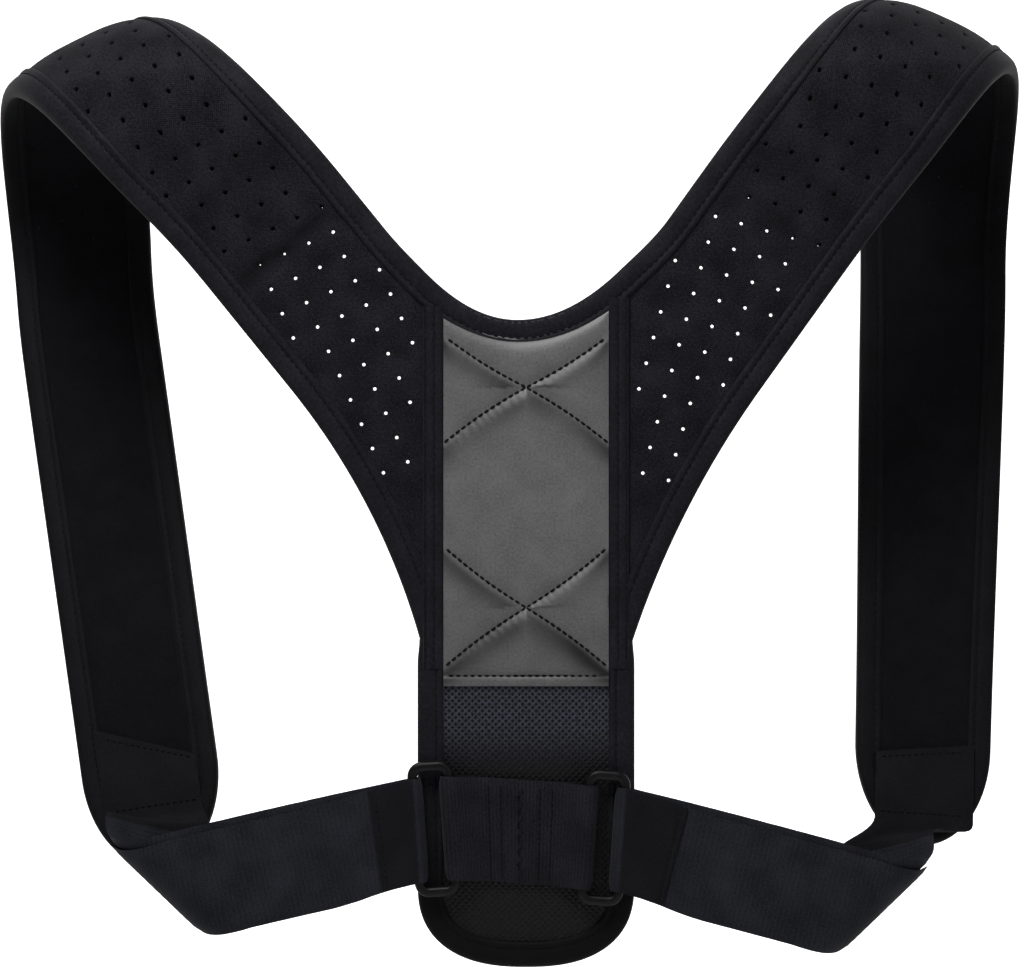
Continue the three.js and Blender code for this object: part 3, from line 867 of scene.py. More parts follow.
def inward_of(chain: Sequence[Vector], hand: int) -> list[tuple[Vector, Vector]]:
    """Pairs each point of an open flat chain with the direction square to it.

    Args:
        chain: Flat points along an edge.
        hand: 1 where the inside is to the left of the way along, -1 where it is to the right.

    Returns:
        The points with their inward directions.
    """
    pairs = []
    for index, point in enumerate(chain):
        along = chain[min(index + 1, len(chain) - 1)] - chain[max(index - 1, 0)]
        along.normalize()
        pairs.append((point, Vector((-along.y, along.x)) * hand))
    return pairs


@dataclass
class ShoulderPad:
    """One perforated shoulder pad with its edge tape and the seam tape that joins it to the panel."""

    side: SideShape
    sizes: BraceSizes
    grid_mm: float = 4.0
    hole_corners: int = 10
    open_share: float = 0.62
    closed_share: float = 0.02
    closing_mm: float = 8.0
    hole_sink: float = 0.3
    hole_rim: float = 1.1
    hole_clear: float = 2.4
    edge_step: float = 3.0
    edge_clear: float = 1.5
    puff_mm: float = 0.9
    puff_reach: float = 6.0
    lining_puff: float = 0.4
    crease_mm: float = 3.5
    crease_wander: float = 3.0
    # How dark the painted shade along the crease across the pad is.
    crease_shade: float = 0.4

    def __post_init__(self) -> None:
        """Lays out the pad and starts its stitching."""
        self.map = PadMap(self.side, self.sizes)
        self.stitching = Stitching()
        self.cut: set[tuple[int, int]] = set()

    def edge_chain(self) -> list[Vector]:
        """Returns the pad's edge in the flat, from the seam's foot round the end to the neckline."""
        pad, sizes = self.map, self.sizes
        round_start = pad.length - sizes.pad_end_round
        foot = pad.foot[0] + sizes.gap
        arm = [Vector((s, pad.arm_t(s))) for s in spaced(foot, round_start, self.edge_step)]
        end = [
            Vector((round_start + sizes.pad_end_round * math.sin(a), pad.half(round_start) * math.cos(a)))
            for a in (math.pi * share for share in shares(40)[1:-1])
        ]
        neck = [Vector((s, pad.neck_t(s))) for s in spaced(round_start, pad.nape[0], self.edge_step)]
        return arm + end + neck

    def holes(self) -> list[Flat]:
        """Returns the centres of the perforations that clear the tapes, on a turned square grid."""
        pad, sizes = self.map, self.sizes
        margin = sizes.binding + sizes.hole * 0.9
        turn = math.radians(self.side.hole_turn)
        reach = math.ceil(pad.length / sizes.hole_pitch)
        found = []
        for row in range(-reach, reach + 1):
            for column in range(-reach, reach + 1):
                s = sizes.flare_join + sizes.hole_pitch * (row * math.cos(turn) - column * math.sin(turn))
                t = sizes.hole_pitch * (row * math.sin(turn) + column * math.cos(turn))
                if not pad.foot[0] < s < pad.length - sizes.pad_end_round / 2:
                    continue
                clear_of_edges = pad.neck_t(s) + margin < t < pad.arm_t(s) - margin
                if clear_of_edges and pad.flat(s, t).x > pad.seam_x + sizes.binding * 0.55:
                    self.cut.add((row, column))
                    found.append((s, t))
        return found

    def puff(self, s: float, t: float) -> float:
        """Returns how far the padding swells between its tapes at a place."""
        pad = self.map
        inset = min(pad.arm_t(s) - t, t - pad.neck_t(s), pad.length - s, pad.flat(s, t).x - pad.seam_x + 4)
        swell = 1 - math.exp(-max(0.0, inset - self.sizes.binding * 0.8) / self.puff_reach)
        swell *= self.puff_mm * (1 + 0.5 * ripple((s, t), 34.0, self.side.sign))
        return swell - self.side.crease_depth * self.creased(s, t) * min(1.0, max(0.0, inset - 9) / 8)

    def creased(self, s: float, t: float) -> float:
        """Returns how deep a place lies in the crease across the pad, from 0 to 1."""
        wander = self.crease_wander * ripple((s * 0.2, t), 22.0, 13.0)
        return math.exp(-((s - self.side.seen_through + 1.5 + wander) / self.crease_mm) ** 2)

    def cover(self) -> None:
        """Builds the foam with its knit faces and every perforation cut through."""
        pad, sizes = self.map, self.sizes
        outline = self.edge_chain()
        holes = self.holes()
        places = list(outline)
        edges = [(index, (index + 1) % len(outline)) for index in range(len(outline))]
        sunk: dict[int, float] = {}
        pinched: dict[int, Vector] = {}
        bore = sizes.hole / 2
        for centre in holes:
            last_open = self.side.seen_through
            closing = smooth(centre[0], last_open - self.closing_mm, last_open + self.closing_mm)
            open_share = lerp(self.open_share, self.closed_share, closing)
            for radius, drop in ((bore, self.hole_sink), (bore + self.hole_rim, 0.0)):
                first = len(places)
                for corner in range(self.hole_corners):
                    angle = 2 * math.pi * corner / self.hole_corners
                    arm = Vector((math.cos(angle), math.sin(angle))) * radius
                    sunk[len(places)] = drop
                    if drop:
                        pinched[len(places)] = arm * (open_share - 1)
                    places.append(Vector(centre) + arm)
                if drop:
                    edges += [
                        (first + k, first + (k + 1) % self.hole_corners) for k in range(self.hole_corners)
                    ]
        clear = bore + self.hole_clear
        for s in spaced(pad.foot[0], pad.length - 2, self.grid_mm):
            for t in spaced(-1.9 * sizes.pad_width, 1.9 * sizes.pad_width, self.grid_mm):
                inside = pad.neck_t(s) + self.edge_clear < t < pad.arm_t(s) - self.edge_clear
                inside = inside and pad.flat(s, t).x > pad.seam_x + self.edge_clear
                if inside and self.hole_distance(s, t) > clear:
                    places.append(Vector((s, t)))
        planned = delaunay_2d_cdt(places, edges, [], 0, 1e-4, True)
        spots, triangles, origins = planned[0], planned[2], planned[3]
        mesh = ClothMesh()
        upper, lower = [], []
        for spot, origin in zip(spots, origins):
            drop = max((sunk.get(number, 0.0) for number in origin), default=0.0)
            swell = self.puff(spot.x, spot.y)
            near = spot + next((pinched[number] for number in origin if number in pinched), Vector((0, 0)))
            # Painted shade: the outer face darkens along the crease across the pad.
            shade = self.crease_shade * self.side.crease_depth * self.creased(spot.x - 1.5, spot.y)
            upper.append(mesh.add(pad.point(spot.x, spot.y, sizes.foam + swell - drop), tuple(spot), shade))
            lower.append(mesh.add(pad.point(near.x, near.y, drop - self.lining_puff * swell), tuple(near)))
        rims: Counter = Counter()
        for triangle in triangles:
            middle = sum((spots[corner] for corner in triangle), Vector((0, 0))) / 3
            s, t = middle
            outside = not pad.neck_t(s) < t < pad.arm_t(s) or pad.flat(s, t).x < pad.seam_x or s > pad.length
            if outside or self.hole_distance(s, t) < sizes.hole * 0.46:
                continue
            mesh.face([upper[corner] for corner in triangle])
            mesh.face([lower[corner] for corner in reversed(triangle)], 1)
            for corner, beside in zip(triangle, (*triangle[1:], triangle[0])):
                rims[(corner, beside)] += 1
        for corner, beside in rims:
            if (beside, corner) not in rims:
                mesh.face((lower[corner], lower[beside], upper[beside], upper[corner]))
        piece = mesh.build(f"{self.side.name}_pad_cover", [PALETTE(PAD_KNIT), PALETTE(LINING_WITH_PAINTED_SHADE)], sharp=42)
        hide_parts(f"{self.side.name}_pad")
        LOG.info("%s pad: %d perforations", self.side.name, len(holes))

    def hole_distance(self, s: float, t: float) -> float:
        """Returns the distance from a place to the nearest perforation, or infinity where none is cut."""
        sizes = self.sizes
        turn = math.radians(self.side.hole_turn)
        along = (s - sizes.flare_join) / sizes.hole_pitch
        aside = t / sizes.hole_pitch
        row = along * math.cos(turn) + aside * math.sin(turn)
        column = aside * math.cos(turn) - along * math.sin(turn)
        if (round(row), round(column)) not in self.cut:
            return math.inf
        return sizes.hole_pitch * math.hypot(row - round(row), column - round(column))

    def edge_tape(self) -> None:
        """Builds the tape folded over the pad's edge, tucked under the seam tape at both ends."""
        pad, sizes = self.map, self.sizes
        tucked = sizes.seam_place + sizes.tape
        edge = inward_of(self.edge_chain(), -1)
        square = neck_inward(self.side.sign * pad.seam_x, sizes)
        square = Vector((self.side.sign * square.x, square.y))
        last = Vector((square.dot(heading(self.side.pad_rise)), square.dot(heading(self.side.pad_rise - 90))))
        for back, share in enumerate(spaced(1.0, 0.0, 0.2)):
            point, inward = edge[-1 - back]
            edge[-1 - back] = (point, inward.lerp(last, share).normalized())

        def place(flat: Vector, height: float) -> Point:
            """Puts a place of the pad's edge in space, held clear of the seam tape."""
            spot = pad.flat(flat.x, flat.y)
            if flat.y > 0 and flat.x < sizes.flare_join and spot.x < tucked:
                return self.side.sign * tucked, -height, spot.y
            return pad.point(flat.x, flat.y, height)

        piece = FoldedTape(sizes).build(f"{self.side.name}_pad_edge_tape", edge, place, self.stitching)
        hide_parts(f"{self.side.name}_pad_binding")

    def seam_tape(self) -> None:
        """Builds the flat tape over the seam, sewn down in two rows."""
        sizes = self.sizes
        outer = sizes.seam_place + 2 * sizes.gap + sizes.tape + 0.7
        top = sizes.foam + sizes.gap
        profile = [
            (0.0, -0.4), (0.0, 0.9), (0.5, 1.5), (1.2, 1.05), (1.9, 1.5), (3.2, 1.6), (4.4, 1.5), (5.0, 1.0),
            (5.7, 1.45), (7.2, 1.5), (8.6, 1.3), (9.3, 0.7), (9.5, -0.4),
        ]
        mesh = ClothMesh()
        rings = []
        levels = spaced(under_neck(self.side.sign * sizes.seam_place, sizes) + 1.5, -sizes.seam_drop - 5, 3.0)
        for z in levels:
            ring = []
            for distance, height in profile:
                wave = 0.1 * ripple((z, distance), 8.0, 5.0)
                spot = (self.side.sign * (outer - distance), -(top + height + wave), z)
                ring.append(mesh.add(spot, (distance, z)))
            rings.append(ring)
        mesh.sweep(rings)
        for distance in (1.2, 5.0):
            path = [(self.side.sign * (outer - distance), -(top + 1.05), z) for z in levels]
            self.stitching.row(path)
        piece = mesh.build(f"{self.side.name}_seam_tape_cover", [PALETTE(EDGE_TAPE)])
        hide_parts(f"{self.side.name}_seam_tape")

    def build(self) -> None:
        """Builds the pad's pieces."""
        self.cover()
        self.edge_tape()
        self.seam_tape()
        piece = self.stitching.build(f"{self.side.name}_pad_stitches")


def under_neck(x: float, sizes: BraceSizes) -> float:
    """Returns the height of the neckline tape's lower rim."""
    return neckline(x, sizes) - sizes.binding * math.hypot(1, neck_slope(x, sizes))


@dataclass(frozen=True)
class QuiltCross:
    """A pair of stitch lines that cross on the spine line, as heights of their crossing and their ends."""

    crossing: float
    upper: float
    lower: float


@dataclass
class SpinePanel:
    """The padded spine panel with its mesh face, quilted patch and edge tapes."""

    sizes: BraceSizes
    crosses: tuple[QuiltCross, ...] = (QuiltCross(45.9, 69.5, 20.5), QuiltCross(-52.7, -24.8, -80.1))
    quilt_rise: float = 3.8
    quilt_reach: float = 4.6
    hem_stitch: float = 4.6
    hem_bead: float = 1.1
    hem_press: float = 0.9
    hem_press_mm: float = 3.2
    quilt_bow: float = 1.3
    steep_under: float = 0.8
    steep_over: float = 1.15
    pucker_mm: float = 0.1
    sag_mm: float = 0.5
    # Painted shade of the patch: in the hollows under its stitch lines and towards its bottom.
    hollow_mm: float = 7.0
    hollow_shade: float = 0.74
    patch_low_shade: float = 0.16
    patch_step: float = 1.0
    patch_tuck: float = 2.0
    neck_tuck: float = 1.5
    swell_mm: float = 0.9
    swell_reach: float = 7.0
    # How dark the painted shade on the mesh below the patch is.
    core_shade: float = 0.93

    def __post_init__(self) -> None:
        """Starts the stitching."""
        self.stitching = Stitching()
        self.quilting = Stitching(pitch=3.2, length=3.0, radius=0.56)

    @property
    def patch_half(self) -> float:
        """Half the width of the patch, which is tucked under the seam tapes."""
        return self.sizes.seam_place - self.sizes.seam_tape + self.patch_tuck

    def core(self) -> None:
        """Builds the foam core with the nylon mesh on its outer face and knit on its inner face."""
        sizes = self.sizes
        columns = [lerp(-1, 1, k) for k in shares(40)]
        top = [(k * sizes.seam_place, neckline(k * sizes.seam_place, sizes)) for k in columns]
        bottom = sizes.panel_end_round - sizes.panel_drop
        levels = spaced(-sizes.seam_drop - 1, bottom, 5.0)
        levels += [bottom - sizes.panel_end_round * math.sin(k * math.radians(89)) for k in shares(16)[1:]]
        rows = [top, [(x, -sizes.seam_drop) for x, _ in top]]
        rows += [[(k * panel_half(z, sizes), z) for k in columns] for z in levels]
        mesh = ClothMesh()
        rings = []
        for row in rows:
            rim = panel_half(row[0][1], sizes)
            front = []
            back = []
            for x, z in row:
                inset = min(rim - abs(x), z + sizes.panel_drop)
                swell = self.swell_mm * (1 - math.exp(-max(0.0, inset - 8) / self.swell_reach))
                # Painted shade: the mesh face darkens from 14 to 38 mm below the patch and stays dark to the
                # bottom.
                shade = self.core_shade * smooth(-z, sizes.patch_drop + 14, sizes.patch_drop + 38)
                front.append(mesh.add((x, -(sizes.foam + swell), z), (x, z), shade))
                back.append(mesh.add((x, 0.3 * swell, z), (x, z)))
            rings.append((front, back))
        for (front, back), (front_next, back_next) in zip(rings, rings[1:]):
            for k in range(len(front) - 1):
                mesh.face((front[k], front_next[k], front_next[k + 1], front[k + 1]), 0)
                mesh.face((back[k], back[k + 1], back_next[k + 1], back_next[k]), 1)
            mesh.face((front[0], back[0], back_next[0], front_next[0]), 1)
            mesh.face((front[-1], front_next[-1], back_next[-1], back[-1]), 1)
        for front, back in (rings[0], rings[-1]):
            for k in range(len(front) - 1):
                corners = (front[k], front[k + 1], back[k + 1], back[k])
                mesh.face(corners if front is rings[0][0] else corners[::-1], 1)
        piece = mesh.build("panel_core", [PALETTE(NYLON_MESH), PALETTE(LINING_WITH_PAINTED_SHADE)])
        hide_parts("back_panel")

    def quilt_lines(self) -> list[tuple[Vector, Vector]]:
        """Returns the stitch lines of the patch, each from the spine line to a side seam."""
        half = self.sizes.seam_place - self.sizes.seam_tape + 2.6
        lines = []
        for cross in self.crosses:
            middle = Vector((0.0, cross.crossing))
            for hand in (-1, 1):
                for end in (cross.upper, cross.lower):
                    lines.append((middle, Vector((hand * half, end))))
        return lines

    def bow(self, start: Vector, end: Vector, share: float) -> Vector:
        """Returns how far a stitch line bows away from straight at a share of its length."""
        return Vector((0, self.quilt_bow * math.sin(math.pi * share) * (1 if end.y < start.y else -1)))

    def quilt(self, x: float, z: float) -> tuple[float, float, float]:
        """Measures a place of the patch against its nearest stitch line.

        Args:
            x: Place across the panel.
            z: Height.

        Returns:
            The distance to the line, the place along it, and the signed height over it.
        """
        best = (math.inf, 0.0, 0.0)
        for start, end in self.quilt_lines():
            way = end - start
            share = min(max((Vector((x, z)) - start).dot(way) / way.length_squared, 0.0), 1.0)
            nearest = start + way * share + self.bow(start, end, share)
            gap = Vector((x, z)) - nearest
            if gap.length < best[0]:
                best = (gap.length, share * way.length, gap.y)
        return best

    def patch_height(self, x: float, z: float) -> float:
        """Returns the patch's height over the panel's inner face at a place."""
        sizes = self.sizes
        base = sizes.foam + sizes.gap + 1.0
        away, along, above = self.quilt(x, z)
        inset = min(self.patch_half - abs(x) + 1.0, under_neck(x, sizes) - z + self.neck_tuck)
        hem = z + sizes.patch_drop - self.hem_stitch
        steep = self.quilt_reach * (self.steep_under if above < 0 else self.steep_over)
        rise = self.quilt_rise * (1 - math.exp(-away / steep)) * (1 - math.exp(-max(0.0, inset) / 5.0))
        rise *= 1 - self.hem_press * math.exp(-abs(hem) / self.hem_press_mm)
        gather = math.sin(along * 1.7 + 3 * ripple((x, z), 14.0, 2.0))
        pucker = self.pucker_mm * math.exp(-away / 4.0) * gather
        sag = self.sag_mm * ripple((x * 0.6, z), 26.0, 7.0) * min(1.0, away / 8)
        if hem < 0:
            off_middle = (hem + self.hem_stitch * 0.55) / (self.hem_stitch * 0.5)
            bead = self.hem_bead * math.sqrt(max(0.0, 1 - off_middle ** 2))
            return base + 0.15 + bead
        return base + rise + pucker * min(1.0, inset / 6) + sag

    def patch_shade(self, x: float, z: float) -> float:
        """Returns the patch's painted shade: darker in the hollows under its stitch lines and towards its
        bottom.
        """
        away, along, above = self.quilt(x, z)
        near = math.exp(-((away - 2.0) / self.hollow_mm) ** 2)
        hollow = near * smooth(-above, -0.5, 2.5) * smooth(along, -6.0, 9.0)
        lower = self.patch_low_shade * smooth(-z, 30.0, 80.0)
        return min(1.0, lower + self.hollow_shade * hollow * (1 + 0.5 * ripple((x, z), 30.0, 9.0)))

    def patch(self) -> None:
        """Builds the quilted patch as a crowned, puckered sheet with a folded hem."""
        sizes = self.sizes
        across = spaced(-self.patch_half, self.patch_half, self.patch_step)
        down = shares(round((sizes.neck_height + sizes.patch_drop) / self.patch_step))
        mesh = ClothMesh()
        rings = []
        for share in down:
            outer, inner = [], []
            for x in across:
                z = lerp(under_neck(x, sizes) + self.neck_tuck, -sizes.patch_drop, share ** 0.97)
                # The outer face takes the patch's painted shade.
                outer.append(mesh.add((x, -self.patch_height(x, z), z), (x, z), self.patch_shade(x, z)))
                inner.append(mesh.add((x, -(sizes.foam + 0.5), z), (x, z)))
            rings.append(outer + inner[::-1])
        mesh.sweep(rings)
        piece = mesh.build("quilted_patch", [PALETTE(LEATHERETTE)], sharp=60)
        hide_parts("back_patch")

    def quilt_stitches(self) -> None:
        """Sews the quilting and the hem."""
        for start, end in self.quilt_lines():
            path = []
            for share in shares(40):
                spot = start.lerp(end, share) + self.bow(start, end, share)
                path.append((spot.x, -(self.patch_height(spot.x, spot.y) + 0.1), spot.y))
            self.quilting.row(path)
        z = self.hem_stitch - self.sizes.patch_drop
        half = self.sizes.seam_place - self.sizes.seam_tape
        path = [(x, -(self.patch_height(x, z) + 0.1), z) for x in spaced(-half, half, 2.0)]
        self.quilting.row(path)

    def panel_place(self, flat: Vector, height: float) -> Point:
        """Puts a flat place of the panel and a height in space."""
        return flat.x, -height, flat.y

    def side_tape(self) -> None:
        """Builds the tape folded round the panel's sides and bottom."""
        sizes = self.sizes
        top = sizes.binding * 0.8 - sizes.seam_drop
        bottom = sizes.panel_end_round - sizes.panel_drop
        chain = [
            Vector((0.8 * smooth(z, -sizes.seam_drop - 3, top) - panel_half(z, sizes), z))
            for z in spaced(top, bottom, 3.0)
        ]
        for share in shares(60)[1:-1]:
            angle = math.pi * (1 - share)
            x = squared(math.cos(angle), sizes.end_power)
            z = squared(math.sin(angle), sizes.end_power)
            chain.append(Vector((sizes.panel_width / 2 * x, bottom - sizes.panel_end_round * z)))
        chain += [Vector((-point.x, point.y)) for point in chain[round((bottom - top) / -3.0)::-1]]

        def place(flat: Vector, height: float) -> Point:
            """Puts a place of the tape in space, its top ends tucked under the pads' tapes."""
            sunk = 0.9 * smooth(flat.y, -sizes.seam_drop - 3, top)
            return flat.x, -height + math.copysign(sunk, height - sizes.foam / 2), flat.y

        piece = FoldedTape(sizes).build("panel_edge_tape", inward_of(chain, 1), place, self.stitching)
        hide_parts("panel_binding")

    def neck_tape(self) -> None:
        """Builds the tape folded over the neckline."""
        sizes = self.sizes
        reach = sizes.seam_place + sizes.gap
        edge = [
            (Vector((x, neckline(x, sizes))), neck_inward(x, sizes)) for x in spaced(-reach, reach, 3.0)
        ]
        piece = FoldedTape(sizes).build("neckline_tape", edge, self.panel_place, self.stitching)
        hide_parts("neck_binding")

    def build(self) -> None:
        """Builds the panel's pieces."""
        self.core()
        self.patch()
        self.side_tape()
        self.neck_tape()
        self.quilt_stitches()
        self.stitching.build("panel_stitches")
        self.quilting.build("quilting_stitches")


@dataclass(frozen=True)
class RingFrame:
    """Where a ring buckle lies on the panel and how it leans."""

    side: SideShape
    sizes: BraceSizes

    @property
    def centre(self) -> Vector:
        """The ring's middle in the flat."""
        out = self.side.ring_out * self.sizes.panel_width
        return Vector((out, -self.side.ring_drop * self.sizes.panel_drop))

    @property
    def up(self) -> Vector:
        """The way the ring's upright bars run."""
        return heading(90 - self.sizes.ring_lean)

    @property
    def out(self) -> Vector:
        """The way from the inner bar to the outer bar."""
        return heading(-self.sizes.ring_lean)


@dataclass
class RingBuckle:
    """A moulded rectangular ring with softly rounded bars."""

    side: SideShape
    sizes: BraceSizes
    squareness: float = 2.8

    def build(self) -> None:
        """Builds the ring."""
        sizes = self.sizes
        ring = RingFrame(self.side, sizes)
        half_wide = sizes.ring_span / 2
        half_high = (sizes.ring_height - sizes.ring_bar) / 2
        corner = sizes.ring_bar * 0.95
        bar = sizes.ring_bar / 2
        mesh = ClothMesh()
        rings = []
        for right, top, start in ((1, 1, 0), (-1, 1, 90), (-1, -1, 180), (1, -1, 270)):
            for share in shares(8):
                turn = heading(start + 90 * share)
                x = right * (half_wide - corner) + corner * turn.x
                z = top * (half_high - corner) + corner * turn.y
                section = []
                for angle in spaced(0, 337.5, 22.5):
                    way = heading(angle)
                    away = bar * squared(way.x, self.squareness)
                    lift = bar * squared(way.y, self.squareness)
                    flat = ring.centre + ring.out * (x + away * turn.x) + ring.up * (z + away * turn.y)
                    spot = (self.side.sign * flat.x, -(sizes.ring_plane + lift), flat.y)
                    section.append(mesh.add(spot, (flat.x, flat.y + lift)))
                rings.append(section)
        mesh.sweep(rings, closed=True)
        piece = mesh.build(f"{self.side.name}_ring_buckle", [PALETTE(ACETAL)])
        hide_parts(f"{self.side.name}_ring")


class Band:
    """A strip of webbing with soft selvedges, built from stations along its length."""

    columns: int = 14
    selvedge_power: int = 14
    ridge: float = 0.06
    ridge_place: float = 0.93
    ridge_reach: float = 0.03
    waver_mm: float = 0.12

    def __init__(self, width: float, thickness: float) -> None:
        """Starts an empty strip.

        Args:
            width: The strip's width.
            thickness: Its thickness between the selvedges; not used, as each station's place sets the
                thickness.
        """
        self.width = width
        self.thickness = thickness
        self.mesh = ClothMesh()
        self.rings: list[list[int]] = []
        self.finishes: list[int] = []
        self.run = 0.0
        self.last: Vector | None = None

    def station(self, place: Callable[[float, float], Sequence[float]], finish: int = 0) -> None:
        """Adds a station.

        Args:
            place: Gives the point at a distance across from the middle and a share of the thickness.
            finish: Number of the finish from here on.
        """
        middle = Vector(place(0.0, 0.5))
        if self.last is not None:
            self.run += (middle - self.last).length
        self.last = middle
        half = self.width / 2
        ring = []
        for face in (1, -1):
            for share in shares(self.columns):
                across = face * lerp(-1, 1, share)
                slim = 0.5 - 0.5 * abs(across) ** self.selvedge_power
                ridge = self.ridge * math.exp(-((abs(across) - self.ridge_place) / self.ridge_reach) ** 2)
                level = 0.5 + face * (slim + ridge)
                t = across * (half + self.waver_mm * ripple((self.run, half * across), 6.0, 11.0))
                ring.append(self.mesh.add(place(t, level), (across * half, self.run)))
        self.rings.append(ring)
        self.finishes.append(finish)

    def build(self, name: str, *finishes: ClothFinish) -> bpy.types.Object:
        """Makes the strip's piece."""
        self.mesh.sweep(self.rings, finishes=self.finishes)
        return self.mesh.build(name, [PALETTE(finish) for finish in finishes], sharp=70)


@dataclass
class KeeperWebbing:
    """The webbing sewn across the panel, looped round the inner bar of both rings."""

    sizes: BraceSizes
    sewn_from: float = 0.28
    sewn_to: float = 0.74

    def __post_init__(self) -> None:
        """Finds both inner bars."""
        self.bars = []
        for side in (LEFT, RIGHT):
            ring = RingFrame(side, self.sizes)
            place = ring.centre - ring.out * (self.sizes.ring_span / 2)
            self.bars.append((side.sign * place.x, place.y, Vector((side.sign * ring.up.x, ring.up.y))))

    def at(self, share: float) -> tuple[float, float, Vector]:
        """Returns the place and lean of the webbing's middle at a share of the way between the bars."""
        (x0, z0, lean0), (x1, z1, lean1) = self.bars
        return lerp(x0, x1, share), lerp(z0, z1, share), lean0.lerp(lean1, share)

    def build(self) -> None:
        """Builds the webbing and its stitch rows."""
        sizes = self.sizes
        band = Band(sizes.webbing_width, sizes.webbing)
        lower = sizes.foam + sizes.gap
        upper = lower + sizes.webbing + sizes.gap

        def flat(share: float, level: float) -> None:
            """Adds a station that lies flat on the panel."""
            x, z, lean = self.at(share)

            def place(t: float, q: float) -> Point:
                """Gives a point of the flat station."""
                return x + lean.x * t, -(level + sizes.webbing * (1 - q)), z + lean.y * t

            band.station(place)

        def loop(share: float, hand: int, turns: Sequence[float]) -> None:
            """Adds the stations round a bar."""
            x, z, lean = self.at(share)
            for turn in turns:
                angle = math.radians(180 * turn - 90)

                def place(t: float, q: float) -> Point:
                    """Gives a point of the wrap."""
                    radius = sizes.wrap + sizes.webbing * (1 - q)
                    out = hand * radius * math.cos(angle)
                    depth = sizes.ring_plane + radius * math.sin(angle)
                    return x + out + lean.x * t, -depth, z + lean.y * t

                band.station(place)

        top = sizes.ring_plane + sizes.wrap
        for share in (0.49, 0.35, 0.2, 0.08):
            flat(share, lower)
        loop(0, -1, shares(12))
        for share in spaced(0.04, 0.96, 0.02):
            slack = min(share, 1.0 - share)
            rest = lerp(top, upper, smooth(slack, 0.0, 0.24))
            sewn = smooth(slack, 0.22, 0.3) * 0.25
            flat(share, rest - sewn)
        loop(1, 1, shares(12)[::-1])
        for share in (0.92, 0.8, 0.65, 0.51):
            flat(share, lower)
        piece = band.build("keeper_band", LOOP_WEBBING)
        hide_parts("keeper_webbing")

        stitching = Stitching(pitch=3.0, length=2.2, radius=0.36)
        level = upper + sizes.webbing + 0.05
        half = sizes.webbing_width / 2 - 2
        for share in (self.sewn_from, self.sewn_from + 0.09, self.sewn_to - 0.09, self.sewn_to):
            x, z, lean = self.at(share)
            path = [(x + lean.x * t, -level, z + lean.y * t) for t in spaced(-half, half, 4.0)]
            stitching.row(path)
        path = []
        for index, t in enumerate(spaced(-half, half, 3.0)):
            x, z, lean = self.at(lerp(self.sewn_from, self.sewn_to, 0.44 + 0.12 * (index % 2)))
            path.append((x + lean.x * t, -level, z + lean.y * t))
        stitching.row(path)
        stitching.build("keeper_stitches")


